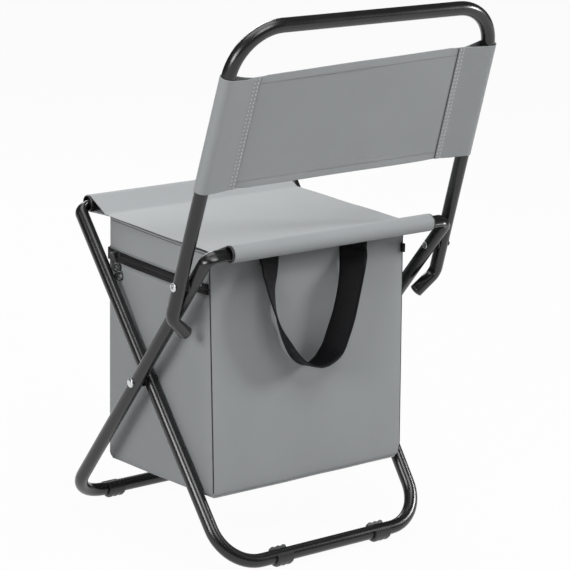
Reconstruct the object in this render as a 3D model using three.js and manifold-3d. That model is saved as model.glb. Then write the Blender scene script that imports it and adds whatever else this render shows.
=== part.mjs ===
// Folding cooler stool: two crossed leg frames of bent tube, a folding backrest,
// and an insulated bag hung under a cloth seat. Millimetres, +Z up, the sitter faces -Y.
import * as THREE from "three";
import { mergeVertices } from "three/addons/utils/BufferGeometryUtils.js";
import Module from "manifold-3d";

const wasm = await Module();
wasm.setup();

// Driving dimensions: clearances
const fitGap = 0.3; // between pieces that touch
const boltGap = 0.15; // round a rivet or screw in its hole

// Driving dimensions: tube frames
const tubeOd = 16;
const tubeWall = 1.2;
const frontReach = 151; // front floor bar, forward of the leg pivot
const rearReach = 150; // rear floor bar, behind the leg pivot
const seatHalfDepth = 145; // seat bars, before and behind the leg pivot
const seatBarHeight = 377; // seat bar axis above the floor
const outerFloorHalf = 164; // outer leg axis from the middle, at the floor
const outerTopHalf = 170; // and at the seat
const innerFlare = 13; // inner legs spread this much from floor to seat, each
const floorBendRadius = 50;
const plugLength = 36; // leg end inside the seat bar

// Driving dimensions: seat bars and their end rings
const seatBarWall = 0.7;
const seatCorner = 15.6; // seat bar's end to the inner leg's axis
const endRingWidth = 3;
const endRingLip = 0.8; // ring stands proud of the seat bar

// Driving dimensions: backrest frame
const backPivotDrop = 47; // down the outer leg from the seat bar axis
const backLean = THREE.MathUtils.degToRad(17.3);
const backLength = 309; // pivot to top bar axis
const backTaper = 10; // uprights draw in over their length
const backTopBendRadius = 58;
const tipTurn = THREE.MathUtils.degToRad(45);
const tipLength = 31; // from the elbow's corner
const tipBendRadius = 18;
const stopGap = 5; // tip to outer leg, as the backrest stands
const plugDome = 3.5;
const plugStem = 14;

// Driving dimensions: rivets and screws
const rivetRadius = 3;
const rivetHeadRadius = 5.5;
const rivetHeadHeight = 2.4;
const screwRadius = 2.5;
const screwHeadRadius = 5;
const screwHeadHeight = 1.6;
const capRadius = 5;
const capHeight = 2.2;
const nutRadius = 4.4;
const nutHeight = 1.6;
const washerThickness = 1.2;
const washerRadius = 7;

// Driving dimensions: feet
const footThickness = 4;
const footLength = 22;
const footWall = 2.4;
const footRibHeight = 1.1;
const footRibCount = 3;
const footRibWidth = 3.2;
const footMouth = THREE.MathUtils.degToRad(84); // open angle at the top
const footTilt = THREE.MathUtils.degToRad(27); // the mouth leans outwards, across the legs
const footFromBend = 0.4;
const rearLeftShift = 14; // rear feet, in from their places beside the bends
const rearRightShift = 6;

// Driving dimensions: seat cloth
const clothThickness = 0.9;
const seamThickness = 1.8; // two plies sewn together
const seatDrop = 5.2; // panel's top below the seat bar axis
const panelThickness = 1.6;
const panelInset = 20; // panel's edge inside the seat bar axis
const seamLap = 6; // sleeve tail over the panel's edge

// Driving dimensions: backrest cloth
const backClothLow = 120; // lower edge above the pivot, along the upright
const backClothHeight = 138;
const backSeamInset = 41; // sleeve seam inside the upright's axis

// Driving dimensions: cooler bag
const bagSideGap = 2.2; // bag to inner legs, where they come closest
const bagFrontInset = 19; // front wall inside the seat panel's edge
const bagRearInset = 13; // rear wall inside the seat panel's edge
const bagBottom = 76;
const bagCorner = 5;
const bagWall = 2;
const zipDepth = 46.2; // zip line below the panel
const zipHalfBand = 5.8;
const tapeThickness = 1;
const coilHeight = 1.4;
const coilProud = 0.4;
const insulationThickness = 5;
const linerThickness = 0.8;
const floorPadThickness = 4;
const floorPadMargin = 3;

// Driving dimensions: zip sliders and pulls
const sliderLength = 12;
const sliderHeight = 9;
const sliderThickness = 3.2;
const leftSliderBack = 12; // sliders, from where the wall's corner starts
const frontSliderBack = 20;
const pullLength = 28;
const pullWidth = 10;
const pullThickness = 1.4;
const pullPinRadius = 1.3;
const pullHoleRadius = 2;

// Driving dimensions: carry handle
const strapWidth = 30;
const strapThickness = 2;
const strapLeftX = 69;
const strapRightX = -50;
const strapSeamDrop = 16; // sewn ends' lower edge below the bag's top
const strapEndHeight = 12;
const loopDrop = 150; // lowest edge of the loop below the sewn ends

// Facets
const tubeSides = 14;
const bendSteps = 5;
const arcSteps = 5;
const roundSides = 12;
const loopSteps = 16;

// Worked out from the dimensions above
const tubeRadius = tubeOd / 2;
const floorAxis = footThickness + tubeRadius;
const seatRise = seatBarHeight - floorAxis;
const seatBarBore = tubeOd + 2 * fitGap;
const seatBarOd = seatBarBore + 2 * seatBarWall;
const panelTop = seatBarHeight - seatDrop;
const panelBottom = panelTop - panelThickness;
const bagTop = panelBottom - fitGap;
const zipHeight = panelBottom - zipDepth;
const zipLower = zipHeight - zipHalfBand;
const zipUpper = zipHeight + zipHalfBand;
const panelHalfDepth = seatHalfDepth - panelInset;
const bagFront = panelHalfDepth - bagFrontInset;
const bagRear = panelHalfDepth - bagRearInset;
const bagCornerStart = bagRear - bagCorner;
const sideNames = { 1: "left", "-1": "right" };

// Leg lines in side view, as functions of the share risen from floor bar to seat bar
const outerRun = frontReach + seatHalfDepth;
const innerRun = rearReach + seatHalfDepth;
const crossShare = (frontReach + rearReach) / (outerRun + innerRun);
const pivotY = -frontReach + crossShare * outerRun;
const pivotZ = floorAxis + crossShare * seatRise;
const outerLength = Math.hypot(outerRun, seatRise);
const innerLength = Math.hypot(innerRun, seatRise);
const outerHalfAt = (share) => THREE.MathUtils.lerp(outerFloorHalf, outerTopHalf, share);
const besideTube = tubeOd + washerThickness + 2 * fitGap; // axis to axis across a pivot washer
const innerPivotHalf = outerHalfAt(crossShare) - besideTube;
const innerFloorHalf = innerPivotHalf - crossShare * innerFlare;
const innerTopHalf = innerFloorHalf + innerFlare;
// the inner legs' top bends take up what is left beside the end rings; the outer legs' are bent alike
const seatBarHalf = innerTopHalf - seatCorner;
const ringEnd = seatBarHalf + 2 * fitGap + endRingWidth;
const topTurn = Math.PI / 2 + Math.atan(innerFlare / innerLength);
const topBendRadius = (innerTopHalf - ringEnd) / Math.tan(topTurn / 2);
const backPivotShare = 1 - backPivotDrop / outerLength;
const backPivotY = -frontReach + backPivotShare * outerRun;
const backPivotZ = floorAxis + backPivotShare * seatRise;
const backPivotHalf = outerHalfAt(backPivotShare) + besideTube;
const backTopHalf = backPivotHalf - backTaper;
const bagLowShare = (bagBottom - floorAxis) / seatRise;
const bagHalfWidth = innerFloorHalf + bagLowShare * innerFlare - tubeRadius - bagSideGap;

// Materials
const finish = (color, roughness, metalness) =>
  new THREE.MeshStandardMaterial({ color, roughness, metalness });
const powderCoat = () => finish(0x1c1c1e, 0.42, 0.3);
const zinc = () => finish(0xb9bbbd, 0.35, 0.9);
const blackPlastic = () => finish(0x161617, 0.55, 0);
const greyCloth = () => finish(0x8d8f91, 0.75, 0);
const blackWebbing = () => finish(0x17171a, 0.85, 0);
const foam = () => finish(0xe6e6e0, 0.9, 0);
const foil = () => finish(0xc9ccd0, 0.3, 0.6);

const stool = new THREE.Group();
function addPiece(name, geometry, material) {
  const mesh = new THREE.Mesh(geometry, material);
  mesh.name = name;
  stool.add(mesh);
  return mesh;
}

// Joining and cutting closed geometry
function solidOf(geometry) {
  const bare = new THREE.BufferGeometry();
  const flat = geometry.index ? geometry.toNonIndexed() : geometry;
  bare.setAttribute("position", flat.getAttribute("position"));
  const merged = mergeVertices(bare, 1e-4);
  return new wasm.Manifold(
    new wasm.Mesh({
      numProp: 3,
      vertProperties: merged.attributes.position.array,
      triVerts: new Uint32Array(merged.index.array),
    }),
  );
}

function geometryOf(solid) {
  const mesh = solid.getMesh();
  const geometry = new THREE.BufferGeometry();
  geometry.setAttribute("position", new THREE.BufferAttribute(mesh.vertProperties, 3));
  geometry.setIndex(new THREE.BufferAttribute(mesh.triVerts, 1));
  geometry.computeVertexNormals();
  return geometry;
}

const cut = (geometry, ...tools) =>
  geometryOf(tools.reduce((solid, tool) => solid.subtract(solidOf(tool)), solidOf(geometry)));
const join = (geometry, ...others) =>
  geometryOf(others.reduce((solid, other) => solid.add(solidOf(other)), solidOf(geometry)));

// Extrusions along each axis; the shape's own x and y become the two axes named
const basis = (x, y, z) => new THREE.Matrix4().makeBasis(x, y, z);
const unitX = new THREE.Vector3(1, 0, 0);
const unitY = new THREE.Vector3(0, 1, 0);
const unitZ = new THREE.Vector3(0, 0, 1);

function extrude(shape, depth, curveSegments = arcSteps) {
  return new THREE.ExtrudeGeometry(shape, { depth, bevelEnabled: false, curveSegments });
}

// shape in Y and Z
function alongX(shape, from, to, curveSegments = tubeSides / 2) {
  const geometry = extrude(shape, to - from, curveSegments);
  return geometry.applyMatrix4(basis(unitY, unitZ, unitX)).translate(from, 0, 0);
}

// shape in X and Z
function alongY(shape, from, to) {
  const frame = basis(unitX, unitZ, unitY.clone().negate());
  return extrude(shape, to - from).applyMatrix4(frame).translate(0, to, 0);
}

// shape in X and Y
function alongZ(shape, from, to) {
  return extrude(shape, to - from).translate(0, 0, from);
}

function block(low, high) {
  const size = new THREE.Vector3().subVectors(high, low);
  const middle = new THREE.Vector3().addVectors(low, high).multiplyScalar(0.5);
  return new THREE.BoxGeometry(size.x, size.y, size.z).translate(middle.x, middle.y, middle.z);
}

// A profile of [radius, distance along X] pairs, turned about the X axis
function turnedAboutX(profile, sides = roundSides) {
  const points = profile.map(([radius, along]) => new THREE.Vector2(radius, along));
  return new THREE.LatheGeometry(points, sides).rotateZ(-Math.PI / 2);
}

function ringShape(outer, inner) {
  const shape = new THREE.Shape().absarc(0, 0, outer, 0, 2 * Math.PI, false);
  shape.holes.push(new THREE.Path().absarc(0, 0, inner, 0, 2 * Math.PI, true));
  return shape;
}

function polygonRing(outer, sides, inner) {
  const points = [];
  for (let k = 0; k < sides; k++) {
    const angle = (2 * Math.PI * k) / sides;
    points.push(new THREE.Vector2(outer * Math.cos(angle), outer * Math.sin(angle)));
  }
  const shape = new THREE.Shape(points);
  shape.holes.push(new THREE.Path().absarc(0, 0, inner, 0, 2 * Math.PI, true));
  return shape;
}

// A route through stations, with as many as the shape needs and none along a straight
class Route extends THREE.Curve {
  constructor(stations) {
    super();
    this.stations = stations;
  }

  // straights and bends through corners in a plane
  static bent(corners, radii, place) {
    const flat = [];
    const last = corners.length - 1;
    corners.forEach((corner, i) => {
      if (i === 0 || i === last) flat.push(corner.clone());
      else flat.push(...Route.bend(corners[i - 1], corner, corners[i + 1], radii[i - 1]));
    });
    return new Route(flat.map((p) => place(p.x, p.y)));
  }

  static bend(before, corner, after, radius) {
    const arriving = new THREE.Vector2().subVectors(corner, before).normalize();
    const leaving = new THREE.Vector2().subVectors(after, corner).normalize();
    const turn = Math.atan2(arriving.cross(leaving), arriving.dot(leaving));
    const start = corner.clone().addScaledVector(arriving, -radius * Math.tan(Math.abs(turn) / 2));
    const inwards = new THREE.Vector2(-arriving.y, arriving.x).multiplyScalar(Math.sign(turn));
    const centre = start.clone().addScaledVector(inwards, radius);
    const points = [];
    for (let k = 0; k <= bendSteps; k++) {
      points.push(start.clone().rotateAround(centre, (turn * k) / bendSteps));
    }
    return points;
  }

  get steps() {
    return this.stations.length - 1;
  }

  getPointAt(share, target = new THREE.Vector3()) {
    return target.copy(this.stations[Math.round(share * this.steps)]);
  }

  getTangentAt(share, target = new THREE.Vector3()) {
    const i = Math.round(share * this.steps);
    const ahead = this.stations[Math.min(i + 1, this.steps)];
    const behind = this.stations[Math.max(i - 1, 0)];
    const here = this.stations[i];
    const leaving = new THREE.Vector3().subVectors(ahead, here).normalize();
    const arriving = new THREE.Vector3().subVectors(here, behind).normalize();
    return target.addVectors(leaving, arriving).normalize();
  }
}

function sweep(shape, route, sides) {
  return new THREE.ExtrudeGeometry(shape, {
    steps: route.steps,
    extrudePath: route,
    bevelEnabled: false,
    curveSegments: sides / 2,
  });
}

const tube = (route) => sweep(ringShape(tubeRadius, tubeRadius - tubeWall), route, tubeSides);

// A drilled hole along X through a tube on one side
function drill(radius, side, y, z, innerX, outerX) {
  const length = outerX - innerX;
  const pin = new THREE.CylinderGeometry(radius, radius, length, roundSides).rotateZ(Math.PI / 2);
  return pin.translate((side * (innerX + outerX)) / 2, y, z);
}

const bothSides = (make) => [1, -1].map(make);
const pivotHoles = (radius, y, z, half) =>
  bothSides((side) => drill(radius + boltGap, side, y, z, half - tubeOd, half + tubeOd));

// A leg frame: one tube from plug to plug, in the plane through its floor bar and its seat bar
function legFrame(floorY, seatY, length, floorHalf, topHalf) {
  const place = (x, up) => {
    const share = up / length;
    return new THREE.Vector3(x, floorY + share * (seatY - floorY), floorAxis + share * seatRise);
  };
  const plugX = seatBarHalf - plugLength;
  const corners = [
    new THREE.Vector2(plugX, length),
    new THREE.Vector2(topHalf, length),
    new THREE.Vector2(floorHalf, 0),
    new THREE.Vector2(-floorHalf, 0),
    new THREE.Vector2(-topHalf, length),
    new THREE.Vector2(-plugX, length),
  ];
  const radii = [topBendRadius, floorBendRadius, floorBendRadius, topBendRadius];
  return tube(Route.bent(corners, radii, place));
}

const outerLegs = legFrame(
  -frontReach,
  seatHalfDepth,
  outerLength,
  outerFloorHalf,
  outerTopHalf,
);
addPiece(
  "outer_leg_tube",
  cut(
    outerLegs,
    ...pivotHoles(rivetRadius, pivotY, pivotZ, outerHalfAt(crossShare)),
    ...pivotHoles(screwRadius, backPivotY, backPivotZ, outerHalfAt(backPivotShare)),
  ),
  powderCoat(),
);

const innerLegs = legFrame(
  rearReach,
  -seatHalfDepth,
  innerLength,
  innerFloorHalf,
  innerTopHalf,
);
addPiece(
  "inner_leg_tube",
  cut(innerLegs, ...pivotHoles(rivetRadius, pivotY, pivotZ, innerPivotHalf)),
  powderCoat(),
);

// Seat bars: plain tubes over the leg ends, each end closed by a ring
for (const [name, y] of [
  ["rear", seatHalfDepth],
  ["front", -seatHalfDepth],
]) {
  const bar = Route.bent(
    [new THREE.Vector2(-seatBarHalf, 0), new THREE.Vector2(seatBarHalf, 0)],
    [],
    (x) => new THREE.Vector3(x, y, seatBarHeight),
  );
  const section = ringShape(seatBarOd / 2, seatBarBore / 2);
  addPiece(`${name}_seat_bar`, sweep(section, bar, tubeSides), powderCoat());
  const ring = ringShape(seatBarOd / 2 + endRingLip, seatBarBore / 2);
  for (const side of [1, -1]) {
    const near = seatBarHalf + fitGap;
    const [from, to] = [side * near, side * (near + endRingWidth)].sort((a, b) => a - b);
    const geometry = alongX(ring, from, to).translate(0, y, seatBarHeight);
    addPiece(`${name}_bar_ring_${sideNames[side]}`, geometry, blackPlastic());
  }
}

// Backrest: a U in the leaning plane through its pivots, with its tips turned inwards as the lean stops
const leanUp = new THREE.Vector3(0, Math.sin(backLean), Math.cos(backLean));
const onBackrest = (x, up) =>
  new THREE.Vector3(x, backPivotY, backPivotZ).addScaledVector(leanUp, up);
const uprightHalfAt = (up) => backPivotHalf - (backTaper * up) / backLength;

// How far below the pivot the elbow lies, for the gap between its tip and the outer leg
function elbowDrop() {
  const legLine = new THREE.Vector3(outerTopHalf - outerFloorHalf, outerRun, seatRise).normalize();
  const across = onBackrest(-Math.sin(tipTurn), -Math.cos(tipTurn)).sub(onBackrest(0, 0));
  const upright = onBackrest(uprightHalfAt(1), 1).sub(onBackrest(uprightHalfAt(0), 0));
  const normal = new THREE.Vector3().crossVectors(across, legLine).normalize();
  const start = backPivotHalf - outerHalfAt(backPivotShare);
  const away = normal.dot(upright) < 0 ? 1 : -1;
  return (tubeOd + stopGap - away * normal.x * start) / (-away * normal.dot(upright));
}

const elbow = elbowDrop();
const elbowHalf = uprightHalfAt(-elbow);
const tipEnd = new THREE.Vector2(
  elbowHalf - tipLength * Math.sin(tipTurn),
  -elbow - tipLength * Math.cos(tipTurn),
);
const backRoute = Route.bent(
  [
    tipEnd,
    new THREE.Vector2(elbowHalf, -elbow),
    new THREE.Vector2(backTopHalf, backLength),
    new THREE.Vector2(-backTopHalf, backLength),
    new THREE.Vector2(-elbowHalf, -elbow),
    new THREE.Vector2(-tipEnd.x, tipEnd.y),
  ],
  [tipBendRadius, backTopBendRadius, backTopBendRadius, tipBendRadius],
  onBackrest,
);
addPiece(
  "backrest_tube",
  cut(tube(backRoute), ...pivotHoles(screwRadius, backPivotY, backPivotZ, backPivotHalf)),
  powderCoat(),
);

// Domed plugs close the two tips
for (const side of [1, -1]) {
  const stem = tubeRadius - tubeWall - fitGap;
  const rim = tubeRadius;
  const dome = [0.9, 0.6, 0].map((share) => [
    rim * share,
    fitGap + plugDome * Math.sqrt(1 - share * share),
  ]);
  const profile = [[0, -plugStem], [stem, -plugStem], [stem, fitGap], [rim, fitGap], ...dome];
  const place = onBackrest(side * tipEnd.x, tipEnd.y);
  const outwards = onBackrest(-side * Math.sin(tipTurn), -Math.cos(tipTurn)).sub(onBackrest(0, 0));
  const turn = new THREE.Quaternion().setFromUnitVectors(unitX, outwards);
  const plug = turnedAboutX(profile).applyQuaternion(turn).translate(place.x, place.y, place.z);
  addPiece(`backrest_tip_plug_${sideNames[side]}`, plug, blackPlastic());
}

// A fastener along X: head outside the outer tube, shank through both tubes, and what holds it inside
function pivotFastener(kind, y, z, outerHalf, innerHalf, sizes) {
  const under = outerHalf + tubeRadius + fitGap;
  const inside = innerHalf - tubeRadius - fitGap;
  const { radius, headRadius, headHeight, endRadius, endHeight, endSides } = sizes;
  const tail = inside - endHeight;
  const crown = 0.75 * headRadius;
  const head = [
    [0, tail],
    [radius, tail],
    [radius, under],
    [headRadius, under],
    [headRadius, under + headHeight / 2],
    [crown, under + headHeight],
    [0, under + headHeight],
  ];
  const end = polygonRing(endRadius, endSides, radius + boltGap);
  const between = (outerHalf + innerHalf) / 2;
  const washer = ringShape(washerRadius, radius + boltGap);
  for (const side of [1, -1]) {
    const turn = side > 0 ? 0 : Math.PI;
    const place = (geometry) => geometry.rotateZ(turn).translate(0, y, z);
    const name = sideNames[side];
    addPiece(`${kind.pin}_${name}`, place(turnedAboutX(head)), zinc());
    const half = washerThickness / 2;
    addPiece(`${kind.washer}_${name}`, place(alongX(washer, between - half, between + half)), zinc());
    addPiece(`${kind.end}_${name}`, place(alongX(end, tail, tail + endHeight)), zinc());
  }
}

pivotFastener(
  { pin: "leg_pivot_rivet", washer: "leg_pivot_washer", end: "leg_pivot_cap" },
  pivotY,
  pivotZ,
  outerHalfAt(crossShare),
  innerPivotHalf,
  {
    radius: rivetRadius,
    headRadius: rivetHeadRadius,
    headHeight: rivetHeadHeight,
    endRadius: capRadius,
    endHeight: capHeight,
    endSides: roundSides,
  },
);
pivotFastener(
  { pin: "backrest_pivot_screw", washer: "backrest_pivot_washer", end: "backrest_pivot_nut" },
  backPivotY,
  backPivotZ,
  backPivotHalf,
  outerHalfAt(backPivotShare),
  {
    radius: screwRadius,
    headRadius: screwHeadRadius,
    headHeight: screwHeadHeight,
    endRadius: nutRadius,
    endHeight: nutHeight,
    endSides: roundSides,
  },
);

// Feet: a ribbed clip with a flat sole, its mouth leaning to the side that faces away from the stool
function footProfile(outer, side) {
  const inner = tubeRadius + fitGap;
  const mouth = Math.PI / 2 - side * footTilt;
  const nearLip = mouth - footMouth / 2;
  const farLip = mouth + footMouth / 2;
  const soleHalf = Math.sqrt(Math.max(outer * outer - tubeRadius * tubeRadius, 1));
  const soleAngle = Math.atan2(-tubeRadius, soleHalf);
  return new THREE.Shape()
    .absarc(0, 0, outer, farLip, Math.PI - soleAngle, false)
    .lineTo(-soleHalf, -floorAxis)
    .lineTo(soleHalf, -floorAxis)
    .absarc(0, 0, outer, soleAngle, nearLip, false)
    .absarc(0, 0, inner, nearLip, farLip, true)
    .closePath();
}

function foot(name, x, y) {
  const side = Math.sign(y);
  const core = tubeRadius + fitGap + footWall;
  const half = footLength / 2;
  const clip = alongX(footProfile(core, side), -half, half, arcSteps);
  const pitch = (footLength - footRibWidth) / (footRibCount - 1);
  const ribs = [];
  for (let k = 0; k < footRibCount; k++) {
    const from = -half + k * pitch;
    ribs.push(alongX(footProfile(core + footRibHeight, side), from, from + footRibWidth, arcSteps));
  }
  addPiece(name, join(clip, ...ribs).translate(x, y, floorAxis), blackPlastic());
}

const besideBend = (floorHalf) => floorHalf - floorBendRadius - footLength / 2 - footFromBend;
foot("front_foot_left", besideBend(outerFloorHalf), -frontReach);
foot("front_foot_right", -besideBend(outerFloorHalf), -frontReach);
foot("rear_foot_left", besideBend(innerFloorHalf) - rearLeftShift, rearReach);
foot("rear_foot_right", rearRightShift - besideBend(innerFloorHalf), rearReach);

// Seat sleeves: cloth over and under each bar, its two plies sewn into a tail that laps the panel's edge
const sleeveInner = seatBarOd / 2 + fitGap;
const sleeveOuter = sleeveInner + clothThickness;
function sleeveShape() {
  const tailEnd = panelInset + seamLap;
  const tailLow = -seatDrop + fitGap;
  const tailHigh = tailLow + seamThickness;
  const meet = new THREE.Vector2(-panelInset - seamThickness, (tailLow + tailHigh) / 2);
  const facing = Math.atan2(meet.y, meet.x) + 2 * Math.PI;
  const leave = Math.acos(sleeveOuter / meet.length());
  const slope = Math.PI / 2 - leave;
  const upper = facing - Math.PI + slope;
  const lower = facing - Math.PI - slope;
  const topX = meet.x + (tailHigh - meet.y) / Math.tan(upper);
  const lowX = meet.x + (tailLow - meet.y) / Math.tan(lower);
  const shape = new THREE.Shape()
    .absarc(0, 0, sleeveOuter, facing + leave, facing - leave + 2 * Math.PI, false)
    .lineTo(topX, tailHigh)
    .lineTo(-tailEnd, tailHigh)
    .lineTo(-tailEnd, tailLow)
    .lineTo(lowX, tailLow)
    .closePath();
  const inner = meet.clone().multiplyScalar(sleeveInner / sleeveOuter);
  const hole = new THREE.Path()
    .absarc(0, 0, sleeveInner, facing + leave, facing - leave + 2 * Math.PI, false)
    .lineTo(inner.x, inner.y)
    .closePath();
  shape.holes.push(hole);
  return shape;
}

for (const [name, side] of [
  ["rear", 1],
  ["front", -1],
]) {
  const sleeve = alongX(sleeveShape(), -seatBarHalf, seatBarHalf);
  if (side < 0) sleeve.rotateZ(Math.PI);
  sleeve.translate(0, side * seatHalfDepth, seatBarHeight);
  addPiece(`seat_${name}_sleeve`, sleeve, greyCloth());
}

addPiece(
  "seat_panel",
  block(
    new THREE.Vector3(-seatBarHalf, -panelHalfDepth, panelBottom),
    new THREE.Vector3(seatBarHalf, panelHalfDepth, panelTop),
  ),
  greyCloth(),
);

// Backrest cloth: a band that ends in a sleeve round each upright and narrows with them
function backClothShape(half) {
  const outer = tubeRadius + fitGap + clothThickness;
  const inner = tubeRadius + fitGap;
  const seam = half - backSeamInset;
  const ply = clothThickness;
  const reach = backSeamInset;
  const leave = Math.PI - Math.acos(outer / reach);
  const shape = new THREE.Shape()
    .absarc(half, 0, outer, -leave, leave, false)
    .lineTo(seam, ply)
    .lineTo(-seam, ply)
    .absarc(-half, 0, outer, Math.PI - leave, Math.PI + leave, false)
    .lineTo(-seam, -ply)
    .lineTo(seam, -ply)
    .closePath();
  for (const side of [1, -1]) {
    const slack = reach - 3 * ply;
    const away = Math.PI - Math.acos(inner / slack);
    const facing = side > 0 ? 0 : Math.PI;
    const hole = new THREE.Path()
      .absarc(side * half, 0, inner, facing - away, facing + away, false)
      .lineTo(side * (half - slack), 0)
      .closePath();
    shape.holes.push(hole);
  }
  return shape;
}

function backCloth() {
  const half = uprightHalfAt(backClothLow);
  const topHalf = uprightHalfAt(backClothLow + backClothHeight);
  const cloth = extrude(backClothShape(half), backClothHeight);
  const position = cloth.getAttribute("position");
  for (let i = 0; i < position.count; i++) {
    const shift = ((topHalf - half) * position.getZ(i)) / backClothHeight;
    const weight = THREE.MathUtils.clamp(position.getX(i) / (half - backSeamInset), -1, 1);
    position.setX(i, position.getX(i) + weight * shift);
  }
  const forwards = new THREE.Vector3().crossVectors(leanUp, unitX);
  const foot = onBackrest(0, backClothLow);
  return cloth.applyMatrix4(basis(unitX, forwards, leanUp)).translate(foot.x, foot.y, foot.z);
}
addPiece("backrest_cloth", backCloth(), greyCloth());

// Plan of the bag, drawn in by an inset: all round, or a band open at the rear
function bagPlan(inset) {
  const half = bagHalfWidth - inset;
  const front = -bagFront + inset;
  const rear = bagRear - inset;
  const corner = Math.max(bagCorner - inset, 1);
  return new THREE.Shape()
    .absarc(half - corner, rear - corner, corner, 0, Math.PI / 2, false)
    .absarc(-half + corner, rear - corner, corner, Math.PI / 2, Math.PI, false)
    .absarc(-half + corner, front + corner, corner, Math.PI, 1.5 * Math.PI, false)
    .absarc(half - corner, front + corner, corner, 1.5 * Math.PI, 2 * Math.PI, false)
    .closePath();
}

function bandPlan(outerInset, innerInset) {
  const rear = bagCornerStart - fitGap;
  const shape = new THREE.Shape();
  const half = bagHalfWidth - outerInset;
  const corner = bagCorner - outerInset;
  const front = -bagFront + outerInset + corner;
  const inHalf = bagHalfWidth - innerInset;
  const inCorner = bagCorner - innerInset;
  return shape
    .moveTo(-half, rear)
    .absarc(-half + corner, front, corner, Math.PI, 1.5 * Math.PI, false)
    .absarc(half - corner, front, corner, 1.5 * Math.PI, 2 * Math.PI, false)
    .lineTo(half, rear)
    .lineTo(inHalf, rear)
    .absarc(inHalf - inCorner, front, inCorner, 2 * Math.PI, 1.5 * Math.PI, true)
    .absarc(-inHalf + inCorner, front, inCorner, 1.5 * Math.PI, Math.PI, true)
    .lineTo(-inHalf, rear)
    .closePath();
}

// An open box of the bag's plan
function openBox(inset, wall, bottom, top) {
  const inside = alongZ(bagPlan(inset + wall), bottom + wall, top + wall);
  return cut(alongZ(bagPlan(inset), bottom, top), inside);
}

// Shell: tub under the zip, with the rear wall carried up to the seat as the bag's hinge
const reach = 2 * bagHalfWidth;
const overZip = block(
  new THREE.Vector3(-reach, -reach, zipLower - fitGap),
  new THREE.Vector3(reach, bagCornerStart, bagTop + bagWall),
);
addPiece("bag_shell", cut(openBox(0, bagWall, bagBottom, bagTop), overZip), greyCloth());

const foamInset = bagWall + fitGap;
const linerInset = foamInset + insulationThickness + fitGap;
const padInset = linerInset + linerThickness + floorPadMargin;
const rim = zipLower - 2 * fitGap;
addPiece("bag_insulation", openBox(foamInset, insulationThickness, bagBottom + foamInset, rim), foam());
addPiece("bag_liner", openBox(linerInset, linerThickness, bagBottom + linerInset, rim), foil());
const padBottom = bagBottom + linerInset + linerThickness + fitGap;
addPiece("bag_floor_pad", alongZ(bagPlan(padInset), padBottom, padBottom + floorPadThickness), foam());

// Collar above the zip, and the zip round the left, front and right walls
addPiece("bag_collar", alongZ(bandPlan(0, bagWall), zipUpper + fitGap, bagTop), greyCloth());
const tapeInset = (bagWall - tapeThickness) / 2;
const tape = bandPlan(tapeInset, tapeInset + tapeThickness);
const coilHalf = coilHeight / 2;
addPiece("zip_tape_upper", alongZ(tape, zipHeight + coilHalf + fitGap, zipUpper), blackWebbing());
addPiece("zip_tape_lower", alongZ(tape, zipLower, zipHeight - coilHalf - fitGap), blackWebbing());
const coil = bandPlan(-coilProud, bagWall);
addPiece("zip_coil", alongZ(coil, zipHeight - coilHalf, zipHeight + coilHalf), blackPlastic());

// A slider and its pull on a wall facing local +X, at the local origin
function zipRunner(name, turn, place) {
  const outward = coilProud + fitGap;
  const nose = sliderHeight / 2;
  const plan = new THREE.Shape()
    .moveTo(-sliderLength / 2, -nose * 0.6)
    .lineTo(-sliderLength / 4, -nose)
    .lineTo(sliderLength / 4, -nose)
    .lineTo(sliderLength / 2, -nose * 0.6)
    .lineTo(sliderLength / 2, nose * 0.6)
    .lineTo(sliderLength / 4, nose)
    .lineTo(-sliderLength / 4, nose)
    .lineTo(-sliderLength / 2, nose * 0.6)
    .closePath();
  const face = outward + sliderThickness;
  const pinEnd = face + pullThickness + 2 * fitGap;
  const pinShape = new THREE.Shape().absarc(0, 0, pullPinRadius, 0, 2 * Math.PI, false);
  const slider = join(alongX(plan, outward, face), alongX(pinShape, outward, pinEnd));
  const half = pullWidth / 2;
  const tab = new THREE.Shape()
    .absarc(0, 0, half, 0, Math.PI, false)
    .absarc(0, half - pullLength, half, Math.PI, 2 * Math.PI, false)
    .closePath();
  tab.holes.push(new THREE.Path().absarc(0, 0, pullHoleRadius, 0, 2 * Math.PI, true));
  const pull = alongX(tab, face + fitGap, face + fitGap + pullThickness);
  for (const [piece, geometry] of [
    [`zip_slider_${name}`, slider],
    [`zip_pull_${name}`, pull],
  ]) {
    geometry.rotateZ(turn).translate(place.x, place.y, zipHeight);
    addPiece(piece, geometry, blackPlastic());
  }
}

const sliderY = -bagFront + bagCorner + leftSliderBack;
zipRunner("left", 0, new THREE.Vector2(bagHalfWidth, sliderY));
const sliderX = bagHalfWidth - bagCorner - frontSliderBack;
zipRunner("front", -Math.PI / 2, new THREE.Vector2(sliderX, -bagFront));

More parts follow.
